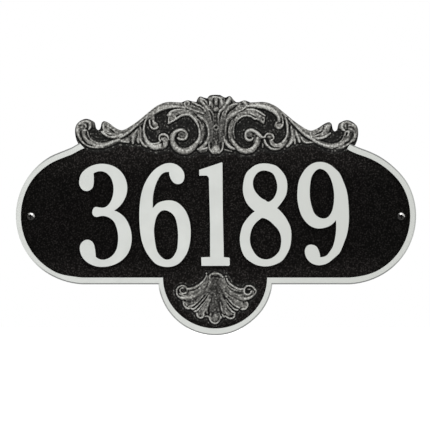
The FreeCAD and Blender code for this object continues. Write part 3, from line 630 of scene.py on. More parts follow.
    "petalLow": ("round", 3.7, 0.88, [(209.6, 101.8, 0.8), (209.7, 103.4, 0.9), (210.0, 105.2, 0.8)]),
    "petalFold": ("round", 3.2, 0.6, [(211.8, 102.4, 0.7), (211.8, 105.0, 0.9), (212.2, 107.4, 0.8)]),
    "stem": ("round", 3.2, (0.86, 0.4), [
        (206.8, 106.8, 0.7), (208.8, 109.0, 0.8), (210.8, 110.6, 0.8), (212.2, 112.8, 0.8),
        (213.3, 115.6, 0.8), (213.7, 120.0, 0.7), (213.4, 124.6, 0.6),
    ]),
    "outerStem": ("round", 2.6, (0.7, 0.42), [
        (207.6, 110.6, 0.7), (209.6, 113.6, 0.9), (210.4, 117.4, 0.8), (210.8, 122.0, 0.7),
        (211.0, 128.0, 0.6),
    ]),
    "sideStem": ("round", 2.6, 0.5, [(207.4, 116.0, 0.7), (209.4, 120.0, 0.7), (210.0, 125.0, 0.6)]),
    "collar": ("round", 3.4, 0.8, [
        (209.0, 142.6, 0.7), (209.0, 146.4, 0.8), (210.4, 150.4, 0.9), (213.2, 153.0, 0.9),
    ]),
}
crestMiddle = {
    "axisBody": ("flat", 1.2, 0.25, [
        (216.0, 104.0, 6.8), (216.0, 110.0, 6.8), (216.0, 118.0, 6.2), (216.0, 131.0, 7.2),
        (216.0, 144.0, 6.6),
    ]),
    "flowerBed": ("flat", 2.4, 0.45, [(211.4, 101.0, 4.8), (220.6, 101.0, 4.8)]),
    "topPetal": ("round", 3.6, 0.85, [(214.8, 96.8, 0.8), (217.2, 96.8, 0.8)]),
    "middlePetal": ("round", 3.7, 0.7, [(216.0, 99.6, 1.5), (216.0, 103.4, 1.6)]),
    "bead": ("flat", 3.6, 0.66, [(215.6, 109.2, 2.3), (216.4, 109.2, 2.3)]),
    "ring": ("round", 2.6, 0.52, [
        (213.4, 127.5, 0.9), (216.0, 125.4, 0.9), (218.6, 127.5, 0.9), (216.0, 130.0, 0.8),
        (213.4, 127.5, 0.9),
    ]),
    "ball": ("round", 4.6, 0.73, [(215.2, 149.5, 4.7), (215.8, 149.5, 4.7)]),
    "ballTip": ("round", 3.2, 0.55, [(216.0, 141.6, 0.8), (216.0, 145.0, 1.2)]),
}
# grooves: depth in mm, stations of column, row, half width
crestGrooves = {
    "hookLine": (2.4, [
        (80.9, 130.6, 0.7), (80.8, 134.0, 0.7), (82.0, 137.6, 0.7), (83.8, 140.8, 0.7),
        (85.8, 142.8, 0.7), (88.4, 144.6, 0.6), (92.0, 145.8, 0.4),
    ]),
    "hookSlot": (2.6, [(86.5, 132.6, 0.5), (86.5, 134.8, 0.7), (87.4, 137.4, 0.5), (89.0, 139.4, 0.4)]),
    "eyeGap": (2.0, [(87.3, 123.8, 0.7), (87.7, 126.6, 0.7)]),
    "eyeTop": (1.6, [(85.7, 122.5, 0.6), (86.8, 123.2, 0.6)]),
    "eyeFoot": (1.8, [(85.6, 128.9, 0.6), (87.8, 128.3, 0.6)]),
    "browGap": (1.4, [(77.8, 125.6, 0.4), (80.4, 125.4, 0.6)]),
    "lumpGap": (1.4, [(83.8, 125.6, 0.5), (84.2, 127.4, 0.5)]),
    "headHollow": (1.0, [(91.9, 124.8, 0.7), (92.4, 127.6, 0.8)]),
    "leafSlot": (2.2, [(110.4, 129.2, 0.4), (112.4, 131.1, 0.7), (114.6, 132.9, 0.5)]),
    "leafLine": (1.4, [(104.6, 131.6, 0.4), (106.8, 133.8, 0.5), (110.6, 135.3, 0.4)]),
    "leafShade": (1.2, [(105.2, 126.6, 0.8), (106.6, 128.2, 0.7)]),
    "veinShade": (1.0, [(108.4, 130.0, 0.4), (111.0, 132.4, 0.4)]),
    "bandTop": (0.6, [
        (126.0, 129.8, 0.5), (132.0, 126.4, 0.5), (139.0, 121.5, 0.5), (146.0, 115.6, 0.5),
        (153.0, 109.9, 0.6), (158.0, 106.6, 0.6), (164.0, 104.3, 0.6), (171.0, 103.6, 0.6),
        (178.0, 104.3, 0.6), (183.4, 105.2, 0.6),
    ]),
    "bandUnder": (2.2, [
        (121.0, 138.8, 0.5), (126.0, 136.8, 0.7), (130.2, 133.8, 0.8), (134.0, 129.6, 0.9),
        (138.4, 126.2, 0.9), (142.4, 122.2, 0.8), (145.4, 119.0, 0.5),
    ]),
    "bandVein": (0.9, [(120.5, 132.9, 0.4), (126.0, 131.4, 0.4), (130.0, 128.6, 0.4)]),
    "notchOne": (2.8, [(130.4, 144.6, 1.0), (130.6, 141.4, 0.6), (131.3, 138.2, 0.5)]),
    "notchTwo": (2.8, [(135.4, 144.6, 1.1), (135.7, 141.0, 0.6), (136.1, 138.4, 0.5)]),
    "notchThree": (2.0, [(136.6, 137.2, 0.5), (137.2, 134.6, 0.7), (136.6, 132.4, 0.5)]),
    "notchFour": (2.4, [(140.2, 145.2, 0.9), (139.6, 142.6, 0.5)]),
    "lobeDark": (1.8, [(142.2, 124.6, 0.9), (142.0, 128.4, 0.8)]),
    "lobeShade": (1.0, [(142.5, 131.4, 0.8), (142.4, 137.0, 0.8), (144.4, 142.4, 0.8)]),
    "ringGap": (2.6, [
        (160.9, 140.4, 0.4), (160.8, 138.2, 0.6), (161.7, 136.5, 0.6), (163.8, 135.9, 0.5),
        (166.0, 136.8, 0.4),
    ]),
    "innerSlit": (2.8, [(161.4, 141.2, 0.5), (162.2, 143.2, 0.7), (162.6, 145.2, 0.6)]),
    "innerPit": (1.4, [(161.2, 146.8, 0.6), (163.0, 146.2, 0.5)]),
    "commaGap": (2.2, [(151.2, 120.2, 0.6), (151.4, 123.2, 0.6), (152.3, 126.0, 0.5), (154.0, 126.7, 0.5)]),
    "leafChannel": (1.8, [
        (168.0, 111.0, 0.6), (172.0, 109.3, 0.5), (176.0, 108.2, 0.5), (181.0, 108.4, 0.4),
    ]),
    "leafPit": (0.9, [(172.4, 113.0, 0.6), (174.0, 112.4, 0.5)]),
    "leafDot": (1.0, [(176.2, 112.6, 0.6), (176.8, 112.4, 0.5)]),
    "barbTop": (1.0, [(170.2, 116.8, 0.5), (173.0, 116.2, 0.4)]),
    "barbPit": (1.1, [(170.0, 120.8, 0.7), (170.4, 119.0, 0.5)]),
    "barbDark": (1.0, [(173.4, 119.2, 0.5), (174.4, 117.4, 0.5)]),
    "eyeLine": (1.6, [
        (177.4, 137.4, 0.5), (176.9, 134.8, 0.6), (178.6, 132.4, 0.6), (181.4, 131.4, 0.5),
        (184.8, 132.8, 0.5),
    ]),
    "spanDark": (1.4, [
        (194.4, 113.8, 0.8), (197.6, 116.8, 0.8), (200.8, 120.6, 0.9), (202.8, 125.6, 0.8),
    ]),
    "eyePit": (1.2, [(180.6, 134.8, 0.8), (182.0, 134.8, 0.8)]),
    "spanGap": (1.8, [
        (202.6, 120.4, 0.5), (205.0, 124.2, 0.8), (206.2, 129.0, 0.8), (206.0, 134.4, 0.8),
        (204.6, 139.4, 0.7), (202.4, 143.2, 0.6), (199.4, 146.2, 0.6), (197.4, 147.4, 0.5),
    ]),
    "foldDark": (1.8, [(193.2, 114.8, 0.7), (194.4, 115.8, 0.6)]),
    "foldLine": (1.4, [(195.4, 112.6, 0.4), (199.4, 113.8, 0.5), (203.6, 115.2, 0.4)]),
    "knobSide": (2.2, [(190.4, 102.6, 0.6), (190.4, 104.4, 0.6)]),
    "knobEye": (1.4, [(187.0, 104.4, 0.4), (188.0, 103.2, 0.4)]),
    "sideSlot": (1.6, [(192.6, 103.8, 0.6), (196.8, 106.2, 0.6), (200.6, 107.4, 0.5), (203.4, 110.4, 0.5)]),
    "sideDark": (2.2, [(204.6, 113.2, 0.7), (205.6, 112.8, 0.7)]),
    "budSlot": (2.6, [(203.0, 100.6, 0.6), (204.8, 102.6, 0.7), (206.2, 104.4, 0.6)]),
    "budShade": (2.0, [(198.4, 103.2, 0.8), (200.0, 104.0, 0.7), (202.6, 106.6, 0.6)]),
    "budBack": (2.0, [(207.6, 99.6, 0.8), (208.4, 101.6, 0.6), (208.2, 105.0, 0.6)]),
    "petalSlot": (2.4, [(213.3, 98.4, 0.6), (213.4, 101.6, 0.6), (213.5, 104.8, 0.5)]),
    "beadLine": (1.6, [(213.2, 112.2, 0.7), (216.0, 112.8, 0.7)]),
    "stemDark": (1.6, [(209.8, 111.8, 0.5), (211.2, 114.8, 0.7), (212.0, 118.4, 0.5)]),
    "ringHole": (1.6, [(215.4, 127.6, 0.8), (216.6, 127.6, 0.8)]),
    "ballCrease": (2.0, [(211.2, 142.6, 0.6), (211.4, 145.4, 0.7), (211.7, 148.0, 0.6)]),
}

# The crest's right half was modelled too: it has its own strokes, and these are turned over
crestShared = (
    "hookBed", "headSlope", "leafBody", "bandBody", "lobeBed", "lobeFoot", "commaBody", "greatLeaf",
    "leafBarb", "spanBody", "sideBed", "curlKnob", "budBody", "petalLow", "petalFold", "stem",
    "outerStem", "sideStem", "collar",
)
crestRight = {
    "rightBud": ("round", 3.6, 0.9, [
        (229.8, 97.6, 1.0), (228.8, 100.0, 2.0), (227.3, 102.6, 1.8), (225.8, 104.4, 0.8),
    ]),
    "rightBudShade": ("flat", 1.5, 0.4, [(231.6, 99.4, 1.4), (234.0, 101.8, 1.4)]),
    "rightPetal": ("round", 3.8, 0.92, [
        (217.4, 97.4, 0.9), (219.6, 98.0, 1.0), (221.2, 99.8, 0.9), (221.4, 103.6, 0.9),
    ]),
    "stemRight": ("round", 3.4, 0.84, [
        (224.2, 106.8, 0.7), (222.0, 108.8, 0.8), (219.8, 110.8, 0.9), (218.6, 113.2, 0.7),
    ]),
    "spanFillRight": ("flat", 1.6, 0.4, [
        (230.4, 119.6, 2.4), (227.8, 125.0, 2.6), (227.2, 131.0, 2.6), (228.2, 137.4, 2.6),
        (231.0, 143.0, 2.4), (234.8, 146.6, 1.6),
    ]),
    "rightBand": ("round", 3.5, (0.85, 0.6), [
        (237.0, 103.8, 0.9), (233.4, 104.4, 1.2), (230.2, 106.2, 1.3), (227.8, 109.0, 1.2),
        (226.4, 112.0, 0.9), (225.0, 115.4, 0.7),
    ]),
    "rightLine": ("round", 2.9, 0.72, [(236.0, 107.4, 0.6), (239.6, 106.4, 0.7), (243.0, 105.8, 0.6)]),
    "rightLineLow": ("round", 2.9, 0.72, [(236.4, 109.0, 0.6), (240.0, 108.2, 0.7), (243.2, 107.6, 0.6)]),
    "rightCurl": ("round", 3.9, 0.95, [
        (243.4, 102.0, 1.0), (245.5, 103.0, 1.2), (246.3, 105.2, 1.1), (245.2, 107.4, 1.0),
        (243.2, 109.2, 0.9), (240.8, 110.6, 0.7),
    ]),
    "secondRight": ("round", 4.1, (0.84, 0.42), [
        (243.0, 110.0, 0.9), (238.4, 111.0, 1.5), (234.0, 113.7, 2.5), (230.4, 116.3, 2.3),
        (227.8, 119.0, 1.9), (226.4, 122.4, 1.4), (225.8, 126.4, 1.2), (225.5, 131.0, 1.1),
        (225.4, 136.0, 1.1),
    ]),
    "secondFoot": ("round", 3.9, (0.55, 0.98), [
        (223.8, 137.0, 1.2), (224.9, 140.4, 1.7), (226.9, 143.6, 1.9), (229.8, 146.4, 1.9),
        (232.6, 148.0, 1.6), (234.4, 148.6, 1.3),
    ]),
    "footLine": ("round", 2.6, 0.55, [(224.4, 149.4, 0.6), (228.0, 150.6, 0.7), (232.0, 151.2, 0.6)]),
    "rimRight": ("round", 4.0, (0.54, 0.36), [
        (240.0, 117.4, 0.9), (236.6, 119.4, 1.4), (233.8, 122.4, 1.8), (231.5, 126.4, 2.1),
        (230.6, 131.0, 2.4), (230.9, 135.6, 2.2), (232.2, 140.0, 2.0),
    ]),
    "rimRightEdge": ("round", 4.0, 0.5, [
        (236.0, 122.0, 0.5), (234.4, 125.4, 0.6), (233.7, 129.6, 0.6), (233.7, 134.0, 0.6),
        (234.8, 138.4, 0.6),
    ]),
    "rimRightLine": ("round", 3.8, 0.68, [
        (231.0, 123.2, 0.6), (229.3, 127.4, 0.7), (228.6, 131.6, 0.7), (229.0, 135.0, 0.7),
    ]),
    "rimRightSpot": ("round", 4.0, 0.92, [(229.2, 136.0, 0.9), (229.8, 137.4, 0.8)]),
    "sideFillRight": ("flat", 1.5, 0.32, [
        (225.0, 119.0, 1.2), (224.2, 124.0, 1.2), (223.8, 131.0, 1.3), (223.8, 138.0, 1.2),
    ]),
    "limbBackRight": ("flat", 2.2, 0.36, [
        (259.0, 136.6, 1.5), (259.3, 140.6, 1.7), (258.2, 144.6, 1.5), (255.8, 148.2, 1.0),
    ]),
    "turnRight": ("round", 4.3, (0.68, 0.72), [
        (232.0, 139.4, 1.8), (234.2, 143.6, 2.1), (238.0, 148.0, 2.4), (242.4, 150.6, 2.6),
        (247.4, 151.2, 2.8), (252.0, 149.6, 2.8), (255.4, 146.0, 2.7), (257.1, 141.6, 2.3),
        (257.6, 138.0, 1.8),
    ]),
    "turnLight": ("round", 4.5, 0.92, [(236.0, 147.2, 0.7), (238.4, 149.6, 1.0), (241.2, 151.0, 0.8)]),
    "turnInner": ("round", 4.5, 0.92, [
        (248.6, 149.0, 0.7), (252.0, 147.8, 0.8), (254.6, 145.0, 0.7), (255.7, 142.0, 0.5),
    ]),
    "archRight": ("round", 4.6, (0.92, 0.8), [
        (265.4, 137.0, 0.8), (262.2, 137.2, 1.2), (259.6, 135.2, 1.8), (256.8, 132.8, 1.9),
        (253.6, 130.8, 1.8), (250.4, 130.0, 1.7), (247.6, 131.0, 1.5), (245.8, 133.2, 1.4),
        (245.5, 136.0, 1.4), (246.4, 138.8, 1.4), (249.2, 140.2, 1.4), (251.8, 139.6, 1.1),
        (252.8, 137.8, 0.7),
    ]),
    "archGlint": ("round", 4.7, 0.98, [(246.4, 138.4, 0.8), (248.8, 140.0, 0.9), (251.2, 139.8, 0.8)]),
    "eyeRight": ("flat", 2.6, 0.46, [(249.2, 134.6, 3.2), (250.2, 134.6, 3.2)]),
    "eyeRightSide": ("flat", 2.2, 0.36, [(254.6, 135.4, 1.6), (255.0, 139.0, 1.6), (254.2, 142.4, 1.2)]),
    "leafTopRight": ("round", 3.5, 0.9, [
        (246.6, 109.6, 0.7), (251.0, 109.2, 0.8), (255.2, 109.8, 0.9), (258.8, 111.4, 1.0),
        (261.8, 113.4, 0.9), (265.0, 115.6, 0.7),
    ]),
    "leafMidRight": ("round", 3.0, 0.66, [
        (241.6, 113.4, 0.9), (246.0, 112.6, 1.2), (251.0, 112.8, 1.4), (255.6, 114.6, 1.4),
        (259.0, 117.0, 1.2),
    ]),
    "leafGlintRight": ("round", 4.0, 0.85, [
        (250.6, 113.8, 0.7), (253.4, 114.8, 0.8), (256.2, 116.4, 0.7),
    ]),
    "leafRimRight": ("round", 3.9, 0.88, [
        (237.4, 120.4, 0.7), (240.0, 117.8, 0.8), (243.8, 116.0, 0.9), (248.0, 115.6, 0.9),
        (252.0, 116.9, 0.9), (255.4, 119.2, 0.9),
    ]),
    "barbRightRim": ("round", 3.3, 0.72, [
        (256.4, 118.8, 0.9), (259.0, 119.0, 0.9), (261.2, 120.6, 0.9), (263.4, 123.4, 0.8),
    ]),
    "barbRightSide": ("round", 3.0, 0.66, [(264.4, 117.4, 0.6), (264.2, 120.6, 0.7), (263.6, 123.4, 0.7)]),
    "barbRightSpot": ("round", 3.0, 0.85, [(263.2, 117.2, 0.7), (263.4, 118.0, 0.7)]),
    "ribbonRight": ("round", 3.9, 0.98, [
        (247.4, 106.3, 0.9), (252.0, 105.8, 1.4), (258.0, 105.9, 1.9), (264.0, 106.7, 2.2),
        (269.6, 108.7, 2.2), (274.0, 111.4, 2.0), (277.2, 114.8, 1.6), (278.9, 118.4, 1.2),
        (279.2, 121.2, 1.0),
    ]),
    "hookLeafRight": ("round", 3.2, (0.7, 0.85), [
        (282.4, 118.6, 0.8), (283.0, 121.6, 0.9), (282.8, 124.8, 1.0), (281.4, 127.2, 1.1),
        (278.8, 128.0, 1.1), (276.6, 126.8, 1.1), (275.7, 124.6, 1.0), (276.4, 122.6, 0.9),
    ]),
    "hookLeafGlint": ("round", 3.4, 0.98, [(277.6, 128.0, 0.8), (280.2, 128.2, 0.8)]),
    "hookLeafBody": ("flat", 2.4, 0.56, [(279.2, 124.8, 2.6), (279.6, 125.4, 2.6)]),
    "spotsRight": ("round", 2.7, 0.6, [(281.4, 113.6, 0.7), (283.0, 116.6, 0.8), (284.6, 119.6, 0.7)]),
    "scrollRight": ("round", 3.8, (0.78, 0.9), [
        (285.4, 117.8, 0.7), (286.6, 121.2, 1.1), (287.3, 125.4, 1.3), (287.6, 130.0, 1.3),
        (287.2, 134.6, 1.1), (285.6, 138.6, 1.1), (282.6, 142.0, 1.0),
    ]),
    "scrollBodyRight": ("flat", 3.0, 0.58, [
        (285.2, 141.2, 2.4), (281.6, 144.8, 2.8), (277.0, 146.4, 2.8), (272.8, 144.8, 2.8),
        (270.8, 141.6, 2.6),
    ]),
    "scrollTopRight": ("round", 3.8, 0.8, [(275.0, 144.0, 0.6), (278.4, 144.4, 0.7), (282.8, 142.4, 0.7)]),
    "scrollInnerRight": ("round", 3.7, 0.74, [
        (271.4, 139.6, 0.8), (270.6, 141.8, 0.9), (271.8, 144.4, 1.0), (275.0, 146.2, 1.0),
        (279.4, 146.2, 0.9), (283.6, 143.8, 0.8),
    ]),
    "scrollRimRight": ("round", 3.9, (0.95, 0.55), [
        (264.4, 139.8, 1.0), (265.6, 142.8, 1.3), (267.8, 145.8, 1.3), (270.8, 148.2, 1.2),
        (275.0, 149.2, 1.1), (279.4, 148.6, 1.0), (283.0, 146.6, 0.7),
    ]),
    "ringRight": ("round", 3.9, 0.95, [
        (264.8, 136.8, 0.7), (266.2, 134.6, 0.9), (268.8, 133.6, 0.9), (271.4, 134.2, 0.9),
        (273.3, 136.2, 0.9), (273.6, 138.4, 0.8), (272.2, 139.8, 0.7),
    ]),
    "ringFillRight": ("flat", 2.2, 0.5, [(268.4, 136.8, 1.8), (270.4, 137.0, 1.8)]),
    "blobRight": ("round", 2.2, 0.62, [(262.6, 143.4, 0.7), (262.8, 146.8, 0.9)]),
    "ridgeRight": ("round", 3.6, (0.8, 0.98), [
        (283.4, 113.6, 0.6), (287.0, 117.4, 0.9), (291.4, 121.9, 1.1), (296.2, 126.6, 1.3),
        (300.6, 131.0, 1.5), (305.0, 134.6, 1.7), (310.0, 137.6, 1.6), (314.6, 140.4, 1.3),
    ]),
    "ridgeLine": ("round", 2.7, 0.62, [
        (286.0, 114.6, 0.6), (290.6, 118.2, 0.8), (295.4, 122.4, 0.8), (300.4, 126.6, 0.9),
        (306.0, 130.6, 1.0), (311.0, 132.8, 1.0),
    ]),
    "lobeFourRight": ("round", 2.9, (0.6, 0.92), [
        (291.4, 126.2, 0.8), (291.9, 130.6, 1.2), (292.6, 135.4, 1.7), (292.0, 140.0, 1.9),
        (290.0, 143.6, 1.6), (287.2, 146.2, 1.2),
    ]),
    "lobeSpotRight": ("round", 3.0, 0.95, [(291.4, 127.4, 0.9), (291.7, 128.2, 0.8)]),
    "lobeBarRight": ("round", 3.1, 0.9, [(291.9, 131.0, 0.7), (292.1, 133.8, 0.7)]),
    "lobeTwoRight": ("round", 2.7, (0.56, 0.98), [
        (294.4, 135.8, 0.9), (294.6, 139.6, 1.1), (295.2, 143.2, 1.0),
    ]),
    "lobeThreeRight": ("round", 2.9, (0.6, 0.98), [
        (295.6, 130.8, 0.9), (297.0, 134.4, 1.2), (298.6, 138.4, 1.3), (299.6, 142.0, 1.0),
    ]),
    "lobeOneRight": ("round", 2.8, 0.9, [
        (301.2, 137.4, 0.7), (302.6, 140.0, 0.8), (305.0, 142.2, 0.9), (309.0, 142.6, 0.8),
        (312.4, 142.2, 0.7),
    ]),
    "leafRightBody": ("round", 2.6, 0.64, [
        (327.6, 127.4, 2.4), (325.6, 131.6, 3.2), (321.0, 135.0, 2.8), (315.6, 136.2, 2.0),
    ]),
    "leafRightSpot": ("round", 3.2, 0.92, [(328.2, 125.2, 0.8), (328.6, 126.2, 0.8)]),
    "leafRightGlint": ("round", 3.2, 0.9, [
        (326.4, 126.4, 0.7), (325.3, 129.2, 0.8), (323.4, 131.8, 0.8), (319.8, 134.0, 0.7),
        (315.8, 135.8, 0.6),
    ]),
    "leafRightFold": ("round", 3.0, 0.8, [(321.8, 127.6, 0.7), (321.2, 129.8, 0.7), (318.4, 132.0, 0.7)]),
    "leafRightKeel": ("round", 3.6, 0.94, [
        (330.6, 133.1, 0.7), (328.0, 135.0, 1.0), (324.6, 137.2, 1.1), (320.0, 138.4, 1.2),
        (315.4, 138.0, 1.1), (311.4, 136.2, 0.9),
    ]),
    "hookRightRim": ("round", 3.4, (0.98, 0.72), [
        (313.4, 140.0, 1.1), (318.0, 142.6, 1.1), (322.6, 144.4, 1.0), (328.0, 146.2, 1.0),
        (333.0, 146.2, 1.0),
    ]),
    "hookRightBand": ("round", 3.2, (0.8, 0.56), [
        (324.6, 145.8, 1.3), (329.6, 146.4, 2.2), (334.6, 146.4, 2.4), (339.6, 145.0, 2.4),
        (344.0, 142.4, 2.4), (347.6, 139.6, 2.3),
    ]),
    "hookRightEdge": ("round", 3.2, 0.74, [
        (338.0, 148.3, 0.7), (343.4, 146.9, 0.8), (348.0, 144.4, 0.8), (351.6, 141.4, 0.8),
        (354.0, 137.8, 0.9), (355.2, 133.8, 0.9),
    ]),
    "hookRightSlope": ("flat", 1.9, 0.46, [
        (355.6, 126.0, 2.0), (356.4, 131.0, 1.6), (355.8, 136.4, 1.4), (353.6, 141.0, 1.2),
    ]),
    "hookRightInner": ("round", 2.8, 0.6, [
        (336.4, 143.9, 0.6), (340.4, 141.8, 0.6), (343.0, 138.4, 0.6), (344.4, 134.8, 0.6),
    ]),
    "hookRightKnob": ("round", 3.5, 0.92, [
        (345.2, 135.2, 0.7), (345.3, 132.6, 0.8), (347.0, 131.4, 0.9), (348.7, 132.2, 0.9),
        (348.4, 134.4, 0.8), (347.4, 135.8, 0.7),
    ]),
    "hookRightArc": ("round", 2.9, 0.68, [
        (349.2, 128.8, 1.0), (352.0, 129.6, 0.9), (354.2, 131.8, 0.8), (355.2, 134.6, 0.7),
    ]),
    "headRightLobe": ("round", 3.1, (0.66, 0.9), [
        (345.6, 122.6, 1.2), (342.8, 123.8, 1.6), (342.0, 126.8, 1.6), (343.0, 129.2, 1.4),
        (344.8, 130.6, 0.9),
    ]),
    "headRightFold": ("round", 2.7, 0.6, [(345.6, 124.6, 0.9), (345.6, 128.2, 1.0)]),
    "headRightBand": ("round", 2.9, 0.74, [
        (346.0, 121.9, 0.9), (349.6, 122.6, 1.1), (353.0, 124.6, 1.1), (355.4, 127.6, 0.9),
    ]),
    "headRightLine": ("round", 2.7, 0.7, [(348.8, 125.4, 0.7), (351.6, 125.6, 0.7), (354.0, 128.0, 0.6)]),
    "hookRightLip": ("round", 0.8, 0.3, [(326.0, 149.8, 0.5), (333.0, 150.8, 0.5), (341.0, 150.4, 0.5)]),
}
crestTurned = ("petalSlot", "beadLine", "ringHole", "ballCrease", "stemDark")
crestRightGrooves = {
    "budSideRight": (2.0, [(223.0, 98.6, 0.7), (223.4, 100.4, 0.6)]),
    "budBackRight": (2.0, [(231.2, 101.2, 0.6), (231.6, 103.0, 0.6), (229.0, 104.8, 0.5)]),
    "bandDarkRight": (2.2, [
        (236.4, 106.0, 0.5), (233.0, 108.4, 0.9), (229.0, 111.6, 0.9), (226.8, 114.6, 0.6),
    ]),
    "curlDotRight": (2.0, [(242.4, 103.6, 0.6), (242.2, 104.2, 0.6)]),
    "curlSideRight": (2.0, [(248.3, 103.8, 0.6), (248.3, 104.8, 0.6)]),
    "curlLineRight": (2.0, [(245.4, 108.6, 0.5), (243.2, 110.6, 0.6), (241.4, 111.4, 0.6)]),
    "channelRight": (1.6, [
        (247.6, 107.7, 0.5), (252.0, 107.6, 0.5), (257.0, 108.4, 0.6), (261.4, 109.8, 0.6),
    ]),
    "spanRight": (1.5, [
        (231.2, 119.8, 0.6), (228.8, 123.4, 0.8), (227.4, 128.6, 0.9),
        (227.2, 133.4, 0.9), (227.8, 138.0, 0.8), (229.4, 142.0, 0.8), (232.0, 145.6, 0.9),
        (235.4, 147.8, 0.7), (236.2, 149.4, 0.6),
    ]),
    "rimDotRight": (1.4, [(234.4, 121.6, 0.6), (234.0, 122.6, 0.6)]),
    "eyeDotRight": (1.4, [(250.0, 136.6, 0.7), (250.4, 137.0, 0.7)]),
    "eyeSlotRight": (2.6, [(252.6, 132.6, 0.6), (254.4, 133.8, 0.7)]),
    "leafLineRight": (1.8, [(258.4, 112.8, 0.4), (261.2, 114.8, 0.6), (263.0, 116.0, 0.4)]),
    "barbPitRight": (1.2, [(261.4, 116.6, 0.7), (262.6, 119.6, 0.8)]),
    "hookLeafGap": (2.4, [(277.8, 123.0, 0.7), (279.4, 123.2, 0.6), (281.0, 122.0, 0.7)]),
    "dotsRight": (2.0, [(280.8, 118.4, 0.5), (281.4, 121.0, 0.5)]),
    "sideDotsRight": (2.2, [
        (282.4, 114.4, 0.5), (284.0, 117.8, 0.6), (284.4, 121.4, 0.7), (284.6, 124.8, 0.6),
    ]),
    "ridgeDark": (2.4, [
        (286.4, 117.2, 0.5), (289.6, 121.4, 0.9), (293.4, 125.8, 1.0), (298.0, 130.6, 1.0),
        (302.6, 135.0, 1.1), (307.0, 138.6, 1.1), (312.0, 141.2, 0.6),
    ]),
    "ridgeTop": (0.8, [(288.0, 116.6, 0.4), (294.0, 121.8, 0.4), (300.0, 126.0, 0.4)]),
    "scrollSplitRight": (2.6, [
        (268.8, 140.6, 0.6), (269.0, 143.0, 0.7), (270.8, 145.8, 0.6), (274.0, 147.7, 0.5),
        (279.0, 147.6, 0.4),
    ]),
    "ringDotRight": (2.2, [(270.2, 139.4, 0.6), (270.8, 139.0, 0.6)]),
    "ringLineRight": (1.8, [(264.6, 138.4, 0.5), (267.8, 138.3, 0.6)]),
    "notchRight": (2.8, [(293.4, 144.0, 0.8), (293.8, 142.0, 0.5)]),
    "notchTwoRight": (2.6, [(297.2, 144.0, 0.9), (296.6, 140.4, 0.7), (295.6, 136.4, 0.5)]),
    "notchThreeRight": (2.6, [(302.2, 144.2, 1.2), (301.4, 141.4, 0.7), (300.4, 138.4, 0.5)]),
    "notchFourRight": (2.0, [(306.8, 144.2, 0.8), (307.6, 143.6, 0.6)]),
    "lobeDarkRight": (1.8, [
        (289.6, 126.0, 0.9), (289.8, 131.0, 0.9), (289.8, 136.6, 0.9), (288.0, 142.0, 0.9),
    ]),
    "leafDarkRight": (2.0, [(323.8, 126.2, 0.5), (323.2, 129.0, 0.7)]),
    "leafVeinRight": (2.0, [(322.4, 131.6, 0.5), (319.4, 133.2, 0.6), (315.8, 134.6, 0.4)]),
    "leafShadeRight": (1.4, [(320.0, 136.0, 0.4), (316.0, 137.0, 0.5), (312.4, 137.4, 0.4)]),
    "leafPitRight": (1.2, [(326.8, 129.0, 0.5), (327.2, 131.6, 0.6)]),
    "leafEndRight": (1.4, [(318.6, 128.6, 0.5), (319.8, 129.6, 0.5)]),
    "slotRight": (2.8, [(347.4, 124.8, 0.6), (347.5, 127.6, 0.7), (347.4, 130.0, 0.7)]),
    "knobSlotRight": (2.2, [(346.5, 133.4, 0.4), (346.6, 135.0, 0.4)]),
    "headDotRight": (2.2, [(352.8, 127.0, 0.6), (353.6, 127.8, 0.6)]),
    "headLineRight": (1.8, [(349.0, 127.0, 0.5), (351.6, 126.9, 0.4)]),
    "oliveRight": (1.3, [(350.6, 132.6, 0.8), (352.8, 134.4, 1.3), (351.6, 136.6, 1.0)]),
    "hookDarkRight": (2.0, [(354.2, 142.2, 0.7), (352.0, 143.6, 0.5)]),
    "hookLineRight": (1.8, [(345.0, 143.4, 0.5), (348.8, 141.4, 0.7), (351.4, 138.0, 0.6)]),
    "bandLineRight": (1.6, [(331.6, 147.8, 0.4), (335.0, 148.1, 0.5), (338.4, 147.6, 0.4)]),
}

